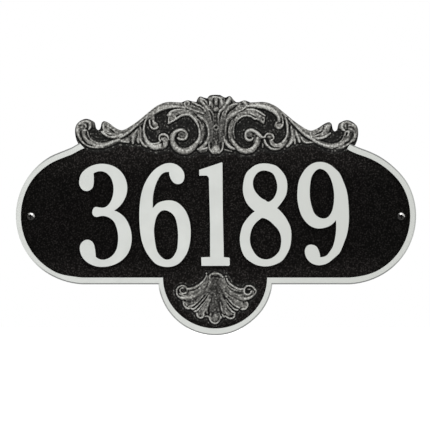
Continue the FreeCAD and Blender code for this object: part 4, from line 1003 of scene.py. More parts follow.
# The shell's left half, about its own axis
shellAxis = 215.2
shellBody = {
    "shellBed": ("flat", 1.7, 0.46, [
        (208.6, 281.0, 3.6), (205.0, 287.0, 5.4), (199.0, 291.6, 5.6), (190.0, 293.8, 5.2),
    ]),
    "voluteFill": ("flat", 1.7, 0.34, [(184.6, 286.8, 1.3), (183.6, 290.4, 1.6)]),
    "bandTopLeft": ("round", 3.2, 0.72, [(179.4, 293.8, 0.8), (182.6, 295.4, 0.9), (186.6, 296.2, 0.8)]),
    "volute": ("round", 3.4, (0.6, 0.9), [
        (187.2, 290.6, 0.8), (186.4, 287.8, 0.9), (184.2, 286.2, 0.9), (181.4, 285.8, 0.8),
        (178.6, 287.2, 0.8), (176.9, 289.8, 0.8), (176.6, 292.6, 0.8), (177.5, 295.2, 0.9),
        (179.8, 297.3, 1.1), (182.8, 298.4, 1.5),
    ]),
    "voluteBand": ("round", 3.1, (0.82, 0.5), [
        (181.6, 297.6, 1.5), (185.2, 298.0, 1.9), (189.0, 297.8, 2.0), (193.0, 296.8, 2.0),
        (197.0, 294.8, 1.8), (201.0, 291.8, 1.4),
    ]),
    "voluteCurl": ("round", 3.1, 0.82, [
        (183.6, 287.8, 0.6), (181.4, 288.2, 0.7), (180.0, 289.6, 0.6), (180.2, 291.6, 0.7),
        (181.8, 293.2, 0.9), (184.0, 293.6, 0.9), (186.0, 292.4, 0.7),
    ]),
    "shoulder": ("round", 3.2, 0.72, [
        (206.5, 275.6, 0.6), (205.2, 278.4, 0.8), (202.6, 281.6, 0.9), (199.0, 284.8, 1.0),
        (195.0, 287.2, 1.1), (191.0, 288.6, 1.2), (187.8, 288.9, 1.0),
    ]),
    "shoulderDot": ("round", 3.0, 0.9, [(206.3, 273.4, 0.8), (206.6, 273.8, 0.8)]),
    "plainFold": ("round", 2.4, 0.6, [
        (190.4, 292.0, 1.0), (195.0, 291.4, 1.2), (199.4, 288.6, 1.1), (203.0, 285.0, 0.8),
    ]),
    "neckDot": ("round", 2.6, 0.8, [(204.4, 287.0, 0.8), (204.8, 287.4, 0.8)]),
    "middleDot": ("round", 2.6, 0.75, [(207.4, 282.4, 0.8), (207.8, 282.4, 0.8)]),
    "innerDot": ("round", 2.6, 0.85, [(210.2, 282.2, 1.0), (210.6, 282.2, 1.0)]),
    "lowDot": ("round", 2.2, 0.6, [(207.4, 291.2, 0.8), (207.6, 291.4, 0.8)]),
    "neck": ("round", 2.4, 0.55, [(207.8, 276.2, 0.6), (207.2, 280.0, 0.7), (206.2, 285.6, 0.8)]),
    "archSide": ("round", 2.9, 0.72, [
        (209.4, 278.0, 0.7), (209.7, 275.6, 0.8), (211.6, 273.9, 0.8), (215.2, 273.4, 0.9),
    ]),
    "outerLobe": ("flat", 1.6, 0.36, [
        (206.0, 292.4, 1.6), (201.6, 296.8, 3.0), (195.0, 301.4, 3.8), (188.6, 303.6, 4.2),
    ]),
    "outerLobeRim": ("round", 3.3, 0.95, [
        (183.3, 301.2, 0.7), (183.8, 304.6, 0.8), (185.4, 307.1, 0.9), (188.0, 308.5, 0.9),
        (190.6, 308.3, 0.7),
    ]),
    "outerLobeFold": ("round", 2.9, 0.82, [(184.6, 302.0, 0.7), (186.4, 304.3, 0.8), (187.2, 305.4, 0.7)]),
    "outerLobeVein": ("round", 3.1, (0.95, 0.6), [
        (189.0, 306.3, 0.8), (191.6, 306.2, 0.9), (194.8, 304.3, 0.9), (198.0, 301.5, 0.8),
        (200.8, 298.6, 0.7), (203.6, 294.8, 0.6),
    ]),
    "lobeSpot": ("round", 2.2, 0.55, [(190.4, 303.4, 0.7), (190.8, 303.6, 0.7)]),
    "ribOne": ("round", 3.3, (1.0, 0.5), [
        (191.2, 308.3, 0.8), (193.4, 309.2, 1.0), (196.4, 307.0, 0.9), (199.2, 304.3, 0.8),
        (202.0, 301.2, 0.7), (204.8, 298.0, 0.6), (207.4, 294.0, 0.5),
    ]),
    "ribTwo": ("round", 3.4, (1.0, 0.5), [
        (194.4, 311.3, 0.8), (196.6, 310.8, 1.1), (199.4, 308.2, 0.9), (202.0, 305.2, 0.8),
        (204.4, 302.2, 0.7), (206.8, 299.0, 0.6), (209.0, 295.4, 0.5),
    ]),
    "ribThree": ("round", 2.9, (0.7, 0.45), [
        (201.4, 308.6, 0.6), (204.0, 305.8, 0.7), (206.4, 302.6, 0.7), (209.0, 298.0, 0.6),
    ]),
    "innerLobe": ("flat", 2.2, 0.45, [
        (200.8, 313.4, 3.4), (203.6, 308.4, 2.8), (206.8, 302.0, 2.0), (209.6, 295.6, 1.4),
    ]),
    "innerLobeRim": ("round", 3.3, 0.95, [
        (196.8, 313.2, 0.9), (197.2, 315.4, 0.9), (199.0, 317.4, 0.9), (201.4, 317.8, 0.9),
        (203.3, 316.6, 0.9), (203.8, 314.4, 0.9),
    ]),
    "innerLobeVein": ("round", 3.0, (0.85, 0.5), [
        (203.2, 313.6, 1.0), (205.2, 310.4, 0.8), (207.2, 306.0, 0.7), (209.0, 300.4, 0.6),
    ]),
    "innerLobeLine": ("round", 2.8, 0.6, [(199.6, 311.4, 0.7), (202.0, 308.4, 0.7)]),
    "point": ("round", 3.1, 0.9, [(205.2, 316.4, 0.6), (207.6, 316.3, 0.8), (209.4, 317.3, 0.8)]),
    "sideRib": ("round", 2.7, 0.58, [
        (207.4, 313.8, 0.8), (206.8, 310.6, 0.7), (208.2, 305.4, 0.7), (210.4, 298.6, 0.6),
    ]),
    "middleRim": ("round", 3.3, 0.85, [
        (209.4, 317.4, 0.7), (209.9, 319.6, 0.8), (211.4, 321.8, 0.8), (213.2, 323.0, 0.8),
        (215.2, 323.6, 0.9),
    ]),
    "middleFrame": ("round", 2.7, 0.6, [
        (211.2, 319.0, 0.6), (210.6, 316.0, 0.7), (210.6, 313.2, 0.7),
    ]),
}
shellMiddle = {
    "shellCore": ("flat", 1.3, 0.29, [
        (215.2, 277.0, 5.6), (215.2, 284.0, 8.4), (215.2, 292.0, 9.4), (215.2, 301.0, 6.4),
        (215.2, 311.0, 6.0), (215.2, 318.6, 5.2),
    ]),
    "middleBoss": ("round", 2.9, 0.54, [(215.2, 316.8, 3.4), (215.2, 319.0, 3.4)]),
    "bossGlint": ("round", 3.1, 0.8, [(217.4, 316.6, 0.7), (217.8, 317.0, 0.7)]),
}
shellGrooves = {
    "archHollow": (1.7, [(211.2, 277.4, 0.8), (213.0, 276.4, 1.0), (215.2, 276.6, 1.0)]),
    "ringHollow": (1.3, [(182.4, 290.6, 0.9), (184.2, 290.2, 0.9)]),
    "shoulderLine": (1.2, [(190.6, 290.2, 0.5), (195.0, 289.7, 0.5), (198.6, 287.6, 0.4)]),
    "curlShadow": (1.6, [(187.0, 294.0, 0.7), (188.4, 291.8, 0.6), (188.6, 290.6, 0.4)]),
    "lobeDark": (1.0, [(187.6, 301.6, 0.8), (192.0, 301.4, 1.0), (196.4, 299.4, 0.8)]),
    "foldPit": (1.8, [(187.6, 306.4, 0.6), (188.0, 306.0, 0.5)]),
    "ribDarkOne": (2.4, [
        (193.4, 307.1, 0.5), (196.4, 304.7, 0.6), (199.4, 301.9, 0.6), (202.2, 298.8, 0.5),
        (204.8, 295.6, 0.4),
    ]),
    "ribDarkTwo": (1.7, [
        (195.2, 309.6, 0.4), (198.2, 306.7, 0.5), (201.0, 303.6, 0.5), (203.8, 300.4, 0.4),
    ]),
    "ribDarkThree": (1.1, [(199.6, 309.4, 0.5), (202.2, 306.2, 0.5), (205.0, 302.8, 0.4)]),
    "innerPit": (1.1, [(200.3, 314.6, 0.8), (200.5, 315.8, 0.8)]),
    "sideDark": (0.7, [(205.2, 314.8, 0.6), (206.0, 311.6, 0.4)]),
    "neckLine": (1.0, [(208.6, 277.6, 0.5), (208.4, 280.6, 0.6), (205.8, 289.6, 0.5)]),
    "bossPit": (0.6, [(212.4, 312.8, 0.8), (213.4, 312.6, 0.6)]),
}
shellShared = ("shellBed", "innerLobe", "outerLobe")
shellRight = {
    "voluteRight": ("round", 3.3, (0.72, 0.95), [
        (255.2, 290.6, 0.6), (254.2, 288.4, 0.7), (252.2, 286.6, 0.8), (249.4, 285.8, 0.8),
        (246.6, 286.4, 0.8), (244.7, 288.4, 0.8), (244.2, 291.4, 0.8), (245.4, 293.7, 0.9),
        (247.9, 294.7, 0.9), (250.2, 293.6, 0.8), (251.1, 291.4, 0.6),
    ]),
    "voluteInnerRight": ("round", 2.7, 0.55, [(248.0, 289.4, 0.7), (250.4, 289.2, 0.7)]),
    "voluteOuterRight": ("round", 2.6, (0.5, 0.7), [
        (255.6, 289.2, 0.7), (256.1, 291.4, 0.8), (254.8, 294.2, 0.9), (252.4, 296.2, 1.0),
    ]),
    "bandRight": ("round", 3.2, (0.7, 0.62), [
        (253.4, 295.0, 1.1), (250.4, 297.3, 1.6), (246.6, 298.5, 1.9), (242.4, 298.7, 1.9),
        (238.0, 297.1, 1.7), (234.0, 294.4, 1.4), (230.2, 291.3, 1.1), (227.4, 287.4, 0.9),
        (225.6, 282.8, 0.8),
    ]),
    "bandGlintRight": ("round", 3.4, 0.85, [(250.0, 296.8, 0.6), (248.0, 298.0, 0.8), (244.0, 299.0, 0.8)]),
    "voluteFillRight": ("flat", 1.8, 0.4, [
        (252.8, 289.4, 1.3), (252.8, 292.6, 1.5), (250.4, 295.2, 1.5), (246.4, 296.4, 1.3),
    ]),
    "veinFillRight": ("flat", 1.8, 0.48, [
        (222.8, 302.0, 0.9), (223.5, 306.0, 1.2), (224.6, 310.4, 1.2), (226.0, 313.0, 0.9),
    ]),
    "shoulderRight": ("round", 3.4, 0.92, [
        (226.6, 278.4, 0.7), (227.8, 281.0, 0.8), (230.2, 283.9, 0.9), (233.2, 286.2, 1.0),
        (236.6, 288.2, 1.0), (240.0, 289.2, 0.9), (243.2, 288.8, 0.9),
    ]),
    "dotRight": ("round", 3.0, 0.8, [(225.8, 276.4, 0.9), (226.4, 276.4, 0.9)]),
    "shoulderBackRight": ("flat", 0.9, 0.2, [
        (228.4, 276.8, 1.6), (230.4, 279.6, 1.4), (232.4, 282.8, 1.0),
    ]),
    "lineRight": ("round", 2.5, 0.6, [
        (226.6, 284.6, 0.6), (229.4, 287.2, 0.6), (232.8, 289.2, 0.6), (237.0, 290.6, 0.7),
        (240.6, 291.6, 0.7),
    ]),
    "lensRight": ("round", 2.8, 0.9, [
        (232.6, 292.6, 0.5), (235.0, 294.0, 0.6), (238.4, 295.4, 0.7), (241.6, 295.4, 0.6),
    ]),
    "archRightSide": ("round", 3.0, (0.72, 0.95), [
        (215.2, 273.3, 0.9), (218.4, 273.8, 0.9), (221.0, 275.4, 1.0), (223.0, 277.2, 0.8),
    ]),
    "neckRight": ("round", 2.3, 0.56, [(224.4, 278.0, 0.7), (224.4, 282.0, 0.7), (225.0, 287.0, 0.8)]),
    "rootRight": ("round", 2.5, 0.62, [(225.6, 293.0, 0.7), (228.6, 295.6, 0.8), (232.6, 298.4, 0.8)]),
    "lobeBodyRight": ("flat", 2.0, 0.56, [(233.0, 299.8, 1.8), (238.4, 303.2, 3.2), (244.2, 304.8, 3.8)]),
    "lobeRimRight": ("round", 3.0, 0.74, [
        (246.6, 301.8, 0.7), (247.9, 304.2, 0.9), (246.9, 307.4, 1.0), (244.4, 309.2, 1.0),
        (241.4, 309.2, 0.9),
    ]),
    "lobeRimGlint": ("round", 3.2, 0.92, [(242.6, 309.4, 0.7), (245.0, 309.2, 0.7)]),
    "veinRight": ("round", 3.3, (0.62, 0.98), [
        (226.8, 296.6, 0.6), (229.2, 300.0, 0.8), (232.2, 303.2, 0.9), (235.6, 305.9, 1.0),
        (239.4, 307.8, 0.9),
    ]),
    "ribOneRight": ("round", 3.2, (0.6, 0.95), [
        (226.0, 299.6, 0.6), (228.6, 303.2, 0.7), (231.8, 306.8, 0.8), (235.0, 309.4, 0.9),
        (237.8, 309.8, 0.8),
    ]),
    "ribTwoRight": ("round", 3.3, (0.56, 0.95), [
        (224.8, 300.8, 0.6), (227.2, 304.8, 0.8), (229.8, 308.6, 0.9), (232.6, 311.6, 0.9),
        (235.0, 313.0, 0.9),
    ]),
    "rootDotRight": ("round", 2.5, 0.8, [(224.2, 300.2, 0.8), (224.6, 300.6, 0.8)]),
    "innerRimRight": ("round", 3.3, (0.72, 0.92), [
        (234.4, 314.4, 0.9), (234.4, 316.6, 0.9), (232.4, 318.3, 0.9), (229.8, 318.4, 0.9),
        (227.4, 317.4, 0.9), (225.2, 315.8, 0.7),
    ]),
    "innerLightRight": ("round", 2.9, 0.8, [(225.6, 311.8, 0.9), (227.2, 314.2, 1.3)]),
    "innerFoldRight": ("round", 2.7, 0.56, [(231.4, 313.6, 0.8), (233.0, 314.6, 0.8)]),
    "innerVeinRight": ("round", 3.0, (0.6, 0.85), [
        (220.6, 302.4, 0.7), (221.2, 306.6, 0.9), (222.3, 310.6, 1.0), (224.4, 313.4, 0.7),
    ]),
    "pointRight": ("round", 3.1, 0.95, [(222.4, 314.2, 0.6), (223.3, 316.2, 0.8), (224.6, 316.9, 0.7)]),
    "sideRightOne": ("round", 2.7, 0.66, [(219.0, 313.4, 0.6), (220.4, 315.8, 0.7), (221.6, 318.0, 0.7)]),
    "sideRightTwo": ("round", 2.4, 0.55, [(218.3, 308.4, 0.7), (218.5, 310.8, 0.7)]),
    "rimRight": ("round", 3.2, (0.85, 0.62), [
        (215.2, 323.6, 0.9), (217.6, 322.6, 0.8), (219.6, 320.2, 0.8), (220.4, 317.6, 0.7),
    ]),
}
shellTurned = ("archHollow", "bossPit")
shellRightGrooves = {
    "ringHollowRight": (1.3, [(246.8, 291.0, 1.2), (248.2, 291.8, 1.2)]),
    "ringArcRight": (1.8, [
        (246.2, 287.9, 0.5), (249.2, 287.3, 0.5), (252.0, 288.5, 0.5), (253.6, 290.4, 0.6),
    ]),
    "ringFootRight": (1.0, [(251.6, 293.6, 0.6), (250.2, 296.0, 0.6), (246.6, 296.6, 0.5)]),
    "lineDarkRight": (1.8, [
        (226.2, 280.6, 0.4), (228.6, 284.6, 0.5), (232.4, 287.8, 0.4), (237.0, 289.9, 0.3),
    ]),
    "lineDarkTwoRight": (1.6, [(225.4, 283.6, 0.4), (228.0, 287.2, 0.5), (232.2, 290.6, 0.5)]),
    "lensDarkRight": (1.6, [(233.6, 294.4, 0.4), (236.6, 295.9, 0.5), (240.4, 296.5, 0.4)]),
    "plainDarkRight": (1.2, [(235.0, 291.8, 0.6), (239.0, 293.0, 0.9), (242.8, 293.0, 0.7)]),
    "bandDarkRight": (1.3, [(225.6, 291.4, 0.5), (228.6, 294.2, 0.5), (231.6, 296.6, 0.3)]),
    "bandEndRight": (1.4, [(227.6, 297.0, 0.5), (228.8, 297.4, 0.5)]),
    "lobeDotRight": (1.6, [(243.4, 302.2, 1.0), (243.8, 303.0, 0.8)]),
    "ribDarkRight": (2.4, [
        (228.2, 300.8, 0.4), (231.0, 304.2, 0.5), (234.4, 307.4, 0.6), (237.2, 308.6, 0.5),
    ]),
    "ribDarkTwoRight": (1.7, [(227.2, 303.8, 0.3), (230.4, 307.6, 0.5), (233.8, 310.4, 0.5)]),
    "ribDarkThreeRight": (1.4, [(226.4, 307.0, 0.5), (229.0, 310.6, 0.5), (232.0, 313.0, 0.4)]),
    "innerPitRight": (1.0, [(230.4, 315.6, 0.8), (231.2, 316.4, 0.8)]),
    "veinDarkRight": (0.9, [(223.2, 311.2, 0.5), (224.4, 313.8, 0.5)]),
    "sideDarkRight": (0.7, [(220.6, 312.6, 0.5), (222.0, 315.4, 0.5)]),
    "coreDarkRight": (1.0, [(218.4, 302.0, 0.9), (219.0, 304.6, 0.9)]),
}

shellOutline = [
    (215.2, 269.8), (205.0, 270.4), (200.6, 277.0), (194.0, 283.4), (180.0, 282.6), (173.4, 288.0),
    (173.2, 296.0), (179.0, 303.0), (180.6, 308.0), (186.4, 312.4), (191.6, 314.4), (194.2, 319.6),
    (201.0, 321.8), (206.4, 321.6), (210.0, 325.2), (215.2, 326.8),
]

crestTopLeft = [
    [(78.0, 143.6)],
    [
        (76.2, 139.5), (75.1, 134.5), (74.9, 130.0), (75.6, 126.2), (77.6, 122.9), (81.5, 120.0),
        (85.5, 118.7), (89.0, 119.2), (91.6, 120.4), (94.2, 122.0), (95.2, 124.4), (95.7, 127.2),
        (96.8, 129.2), (98.4, 130.0),
    ],
    [(99.2, 129.6), (100.3, 128.0), (101.0, 125.3), (101.7, 122.6), (103.5, 121.1)],
    [
        (106.0, 121.4), (110.0, 123.7), (114.0, 126.9), (118.0, 129.2), (121.5, 130.2),
        (125.5, 129.0), (131.0, 125.8), (138.5, 120.5), (146.0, 114.2), (155.0, 107.0),
        (160.0, 104.2), (165.0, 102.4), (170.0, 101.8), (176.0, 102.1), (181.5, 102.4),
    ],
    [(184.5, 101.0), (188.0, 100.2), (192.0, 101.1), (196.3, 102.0)],
    [(197.3, 99.2), (198.8, 97.0), (201.0, 96.4), (204.0, 97.5), (207.2, 98.2)],
    [(209.0, 95.9), (211.6, 94.9), (216.0, 94.6)],
]
# the same on the right, from the axis to the first curl
crestTopRight = [
    [(216.0, 94.6), (220.2, 94.9), (223.4, 96.8)],
    [(225.6, 97.4), (228.0, 96.3), (230.0, 96.0), (231.8, 97.4), (234.2, 100.4), (236.2, 102.0)],
    [(239.0, 102.0), (241.6, 101.0), (244.6, 100.3), (247.6, 101.1)],
]
crestOwnTo = 249.5
# the crest's lower edge, left half
crestFootLeft = [
    (210.0, 157.2), (204.0, 154.6), (197.5, 155.0), (192.0, 157.4), (184.0, 158.2), (176.5, 156.4),
    (171.5, 152.2), (166.0, 152.6), (157.0, 154.6),
    (149.0, 152.6), (143.5, 150.6), (137.0, 147.4), (127.0, 147.0), (119.0, 146.0), (111.0, 150.2),
    (100.0, 152.4), (90.5, 151.4), (84.6, 148.4),
]


def catmullRom(points, steps):
    # a smooth row of points through the given ones
    points = np.array(points, float)
    padded = np.vstack([2 * points[0] - points[1], points, 2 * points[-1] - points[-2]])
    made = []
    for index in range(len(padded) - 3):
        a, b, c, d = padded[index:index + 4]
        for t in np.arange(steps) / steps:
            bend = (2 * a - 5 * b + 4 * c - d) * t**2 + (3 * b - a - 3 * c + d) * t**3
            made.append(0.5 * (2 * b + (c - a) * t + bend))
    made.append(points[-1])
    return np.array(made)


def cornered(spans, steps=4):
    # corners lie between spans, and each span starts where the last one ended
    made = [np.array(spans[0], float)]
    last = spans[0][-1]
    for span in spans[1:]:
        made.append(catmullRom([last] + span, steps)[1:])
        last = span[-1]
    return np.vstack(made)


def strokeDistance(columns, rows, stations):
    # distance from the middle line over the half width, signed side, gap outside, share along
    line = catmullRom(stations, 4)
    along = np.zeros(columns.shape)
    nearest = np.full(columns.shape, 9.0)
    side = np.zeros(columns.shape)
    gap = np.full(columns.shape, 9.0)
    for part, (start, end) in enumerate(zip(line[:-1], line[1:])):
        reach = max(start[2], end[2]) + 4
        near = np.flatnonzero(
            (columns > min(start[0], end[0]) - reach)
            & (columns < max(start[0], end[0]) + reach)
            & (rows > min(start[1], end[1]) - reach)
            & (rows < max(start[1], end[1]) + reach)
        )
        if not len(near):
            continue
        step = end - start
        length = max(step[0] ** 2 + step[1] ** 2, 1e-9)
        fromColumn = columns[near] - start[0]
        fromRow = rows[near] - start[1]
        share = np.clip((fromColumn * step[0] + fromRow * step[1]) / length, 0, 1)
        offColumn = fromColumn - share * step[0]
        offRow = fromRow - share * step[1]
        away = np.hypot(offColumn, offRow)
        halfWidth = start[2] + share * step[2]
        own = away / halfWidth
        gap[near] = np.minimum(gap[near], away - halfWidth)
        closer = own < nearest[near]
        chosen = near[closer]
        nearest[chosen] = own[closer]
        side[chosen] = (own * np.sign(offColumn * step[1] - offRow * step[0]))[closer]
        along[chosen] = ((part + share) / (len(line) - 1))[closer]
    return np.minimum(nearest, 1), np.clip(side, -1, 1), gap, along


def section(kind, nearest):
    if kind == "flat":
        return (1 - nearest**6) ** 0.7
    return (1 - nearest**2) ** 0.6


carving = {
    "lipHeight": 0.6,
    "lipReach": 2.1,
    "lipWidth": 0.55,
    "lipTone": 0.2,
    "moatReach": 0.8,
    "moatShadowWash": 0.12,
    "toneCurve": 1.3,
    "edgeWash": 0.35,
    "soften": 0.42,
    "cell": 0.00045,
    "mottle": 0.22,
    "mottleSize": 1.15,
    "grooveWash": 0.9,
    "hillBlur": 2.0,
    "crownBlur": 0.7,
    "toneBlur": 0.3,
    "coveredAt": 0.6,
    "hillWorn": 0.05,
    "crownWorn": 0.22,
    "backY": -0.004,
}


def carvedHeights(columns, rows, bodies, grooves):
    # the highest of all the strokes with its brightness, a low lip round each, less the grooves
    height = np.zeros(columns.shape)
    bright = np.zeros(columns.shape)
    outside = np.full(columns.shape, 9.0)
    for kind, rise, tone, stations, *lean in bodies:
        nearest, side, gap, along = strokeDistance(columns, rows, stations)
        tilt = 1 + (lean[0] if lean else 0) * side
        lifted = rise * tilt * section(kind, nearest)
        first, last = tone if isinstance(tone, tuple) else (tone, tone)
        rubbed = (first + (last - first) * along) ** carving["toneCurve"]
        rubbed *= 1 - carving["edgeWash"] * (1 - section(kind, nearest))
        bright = np.where(lifted > height, rubbed, bright)
        height = np.maximum(height, lifted)
        outside = np.minimum(outside, gap)
    for depth, stations in grooves:
        nearest, side, gap, along = strokeDistance(columns, rows, stations)
        cut = section("round", nearest)
        height = np.maximum(height - depth * cut, np.minimum(height, 0.3))
        bright *= 1 - carving["grooveWash"] * min(depth, 2) / 2 * cut
    lip = np.exp(-(((outside - carving["lipReach"]) / carving["lipWidth"]) ** 2))
    bright += carving["lipTone"] * lip
    height = np.maximum(height, carving["lipHeight"] * lip)
    # painted shadow with the wash: a dark ring just outside each stroke, where its foot meets the ground
    moat = np.exp(-(((outside - carving["moatReach"]) / carving["lipWidth"]) ** 2))
    return height, bright - carving["moatShadowWash"] * moat, outside


def softened(grid, spread):
    # a small blur along both ways of a grid of heights
    reach = int(3 * spread + 1)
    weights = np.exp(-np.arange(-reach, reach + 1) ** 2 / (2 * spread**2))
    weights /= weights.sum()
    for axis in (0, 1):
        width = [(reach, reach) if axis == other else (0, 0) for other in (0, 1)]
        padded = np.pad(grid, width, mode="edge")
        size = grid.shape[axis]
        grid = sum(
            weight * np.take(padded, range(shift, shift + size), axis=axis)
            for shift, weight in enumerate(weights)
        )
    return grid


def sampled(grid, across, down):
    # the grid's value between its points
    across = np.clip(across, 0, grid.shape[1] - 1.001)
    down = np.clip(down, 0, grid.shape[0] - 1.001)
    i, j = across.astype(int), down.astype(int)
    u, v = across - i, down - j
    top = grid[j, i] * (1 - u) + grid[j, i + 1] * u
    bottom = grid[j + 1, i] * (1 - u) + grid[j + 1, i + 1] * u
    return top * (1 - v) + bottom * v


def insideOutline(columns, rows, outline):
    inside = np.zeros(len(columns), bool)
    for start, end in zip(outline, np.roll(outline, -1, axis=0)):
        if start[1] == end[1]:
            continue
        crosses = (start[1] > rows) != (end[1] > rows)
        at = start[0] + (rows - start[1]) * (end[0] - start[0]) / (end[1] - start[1])
        inside ^= crosses & (columns < at)
    return inside


def nearestOnOutline(column, row, starts, alongs):
    place = np.array((column, row))
    share = np.clip(
        ((place - starts) * alongs).sum(1) / np.maximum((alongs**2).sum(1), 1e-9), 0, 1
    )
    feet = starts + share[:, None] * alongs
    return feet[np.argmin(((feet - place) ** 2).sum(1))]


def mirroredStations(stations, axis):
    return [(2 * axis - c, r, half) for c, r, half in stations]


def bothHalves(left, right, middle, shared, axis):
    # the shared strokes of the left half are turned over, and the right half adds its own
    bodies = list(left[0].values()) + list(right[0].values()) + list(middle.values())
    cuts = list(left[1].values()) + list(right[1].values())
    for name, (kind, rise, tone, stations, *lean) in left[0].items():
        if name in shared:
            turned = mirroredStations(stations, axis)
            bodies.append((kind, rise, tone, turned, *[-each for each in lean]))
    for name, (depth, stations) in left[1].items():
        if name in shared:
            cuts.append((depth, mirroredStations(stations, axis)))
    return bodies, cuts


def rubbedShare(heights, bright, near, cell):
    # how much of the dark wash has been rubbed off: most on the crowns, least in the recesses, with the
    # painted shadow round each stroke's foot
    hills = heights - softened(heights, carving["hillBlur"] / cell)
    crowns = heights - softened(heights, carving["crownBlur"] / cell)
    covered = np.clip(heights / carving["coveredAt"], 0, 1)
    share = softened(bright, carving["toneBlur"] / cell)
    share = np.where(share > 0, share * covered, share)
    share += carving["hillWorn"] * hills + carving["crownWorn"] * crowns
    return np.clip(share + 0.03 * near, -0.2, 1)


def carvedPiece(name, outline, bodies, grooves):
    # a fine grid over the outline, raised to the carved heights and closed behind
    cell = carving["cell"] / drawing["pitch"]
    firstColumn, firstRow = outline.min(0) - cell
    lastColumn, lastRow = outline.max(0) + cell
    across = int((lastColumn - firstColumn) / cell) + 1
    down = int((lastRow - firstRow) / cell) + 1
    columns, rows = np.meshgrid(
        firstColumn + cell * np.arange(across + 1), firstRow + cell * np.arange(down + 1)
    )
    heights, bright, outside = carvedHeights(columns.ravel(), rows.ravel(), bodies, grooves)
    heights = softened(heights.reshape(columns.shape), carving["soften"] / cell)
    # the casting's surface is a little uneven wherever it is carved
    chance = np.random.default_rng(7)
    knots = chance.uniform(-1, 1, (120, 300))
    uneven = sampled(
        knots,
        (columns - firstColumn).ravel() / carving["mottleSize"],
        (rows - firstRow).ravel() / carving["mottleSize"],
    ).reshape(columns.shape)
    heights += carving["mottle"] * uneven * np.clip(heights - 0.6, 0, 1)
    near = np.clip(1 - (outside.reshape(columns.shape) - 1) / 3, 0, 1)
    rubbed = rubbedShare(heights, bright.reshape(columns.shape), near, cell)

    shape = bmesh.new()
    bmesh.ops.create_grid(shape, x_segments=across, y_segments=down, size=0.5)
    wearAndShade = shape.verts.layers.float.new("wearAndShade")
    places = np.array([vertex.co for vertex in shape.verts])
    gridAcross = np.rint((places[:, 0] + 0.5) * across).astype(int)
    gridDown = np.rint((0.5 - places[:, 1]) * down).astype(int)
    for vertex, i, j in zip(shape.verts, gridAcross, gridDown):
        vertex.co = (toX(columns[j, i]), drawing["skinY"] - heights[j, i] / 1000, toZ(rows[j, i]))
        vertex[wearAndShade] = rubbed[j, i]

    # trim to the outline, and draw the last row of points on to it
    middles = np.array([face.calc_center_median() for face in shape.faces])
    kept = insideOutline(toColumn(middles[:, 0]), toRow(middles[:, 2]), outline)
    spare = [face for face, keep in zip(shape.faces, kept) if not keep]
    bmesh.ops.delete(shape, geom=spare, context="FACES")
    starts, alongs = outline, np.roll(outline, -1, axis=0) - outline
    rim = [edge for edge in shape.edges if edge.is_boundary]
    for vertex in {vertex for edge in rim for vertex in edge.verts}:
        place = toColumn(vertex.co.x), toRow(vertex.co.z)
        column, row = nearestOnOutline(*place, starts, alongs)
        at = np.array([(column - firstColumn) / cell]), np.array([(row - firstRow) / cell])
        vertex.co = (toX(column), drawing["skinY"] - sampled(heights, *at)[0] / 1000, toZ(row))
    for edge in rim:
        edge.smooth = False

    # close the back
    walls = bmesh.ops.extrude_edge_only(shape, edges=rim)["geom"]
    back = [item for item in walls if isinstance(item, bmesh.types.BMVert)]
    for vertex in back:
        vertex.co.y = carving["backY"]
    backRim = [edge for edge in shape.edges if edge.is_boundary]
    bmesh.ops.triangle_fill(shape, edges=backRim, use_beauty=True)
    for face in shape.faces:
        face.smooth = True
    for edge in backRim:
        edge.smooth = False
    bmesh.ops.recalc_face_normals(shape, faces=shape.faces)
    mesh = bpy.data.meshes.new(name)
    shape.to_mesh(mesh)
    shape.free()
    piece = bpy.data.objects.new(name, mesh)
    bpy.context.scene.collection.objects.link(piece)
    mesh.materials.append(pewter)
    print(name, "faces", len(mesh.polygons))
    return piece


def mirroredOutline(half, axis):
    # the half runs up to the axis, and its other side follows back down
    other = half[::-1].copy()
    other[:, 0] = 2 * axis - other[:, 0]
    return np.vstack([half, other[1:]])


def eased(value):
    share = np.clip(value, 0, 1)
    return share * share * (3 - 2 * share)


unevenCasting = {
    "droop": 1.4,
    "droopFrom": 295.0,
    "droopOver": 50.0,
    "spread": 1.3,
    "spreadFrom": 306.0,
    "spreadOver": 20.0,
    "rightEndLift": -0.8,
    "rightShoulder": -2.2,
    "leftEndLift": -1.5,
    "leftSag": 0.6,
    "shoulderLeft": 122.0,
    "shoulderRight": 130.0,
    "shoulderRow": 188.0,
    "endCentre": 122.0,
    "thinLeft": 1.75,
    "thinRight": 0.85,
}


def droopRight(column, row):
    # the crest's right end hangs lower and lies further out than its left end
    casting = unevenCasting
    down = casting["droop"] * eased((column - casting["droopFrom"]) / casting["droopOver"])
    out = casting["spread"] * eased((column - casting["spreadFrom"]) / casting["spreadOver"])
    return column + out, row + down


def undrooped(strokes):
    # the right strokes are drawn where they are seen, so they go back before the end hangs down
    placed = {}
    for name, (*given, stations) in strokes.items():
        lowered = [droopRight(column, row) for column, row, half in stations]
        placed[name] = (*given, [
            (2 * column - low[0], 2 * row - low[1], half)
            for (column, row, half), low in zip(stations, lowered)
        ])
    return placed


crestAxis = drawing["axisColumn"]
crestTop = mirroredOutline(cornered(crestTopLeft), crestAxis)
before, after = crestTop[:, 0] < crestAxis - 0.1, crestTop[:, 0] > crestOwnTo
crestTop = np.vstack([crestTop[before], cornered(crestTopRight), crestTop[after]])
crestFoot = mirroredOutline(catmullRom(crestFootLeft[::-1], 3), crestAxis)[::-1]
crestOutline = np.vstack([crestTop, crestFoot])
crestParts = bothHalves(
    (crestBody, crestGrooves),
    (undrooped(crestRight), undrooped(crestRightGrooves)),
    crestMiddle,
    crestShared + crestTurned,
    crestAxis,
)
crest = carvedPiece("crest_carving", crestOutline, *crestParts)
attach(crest, "root")

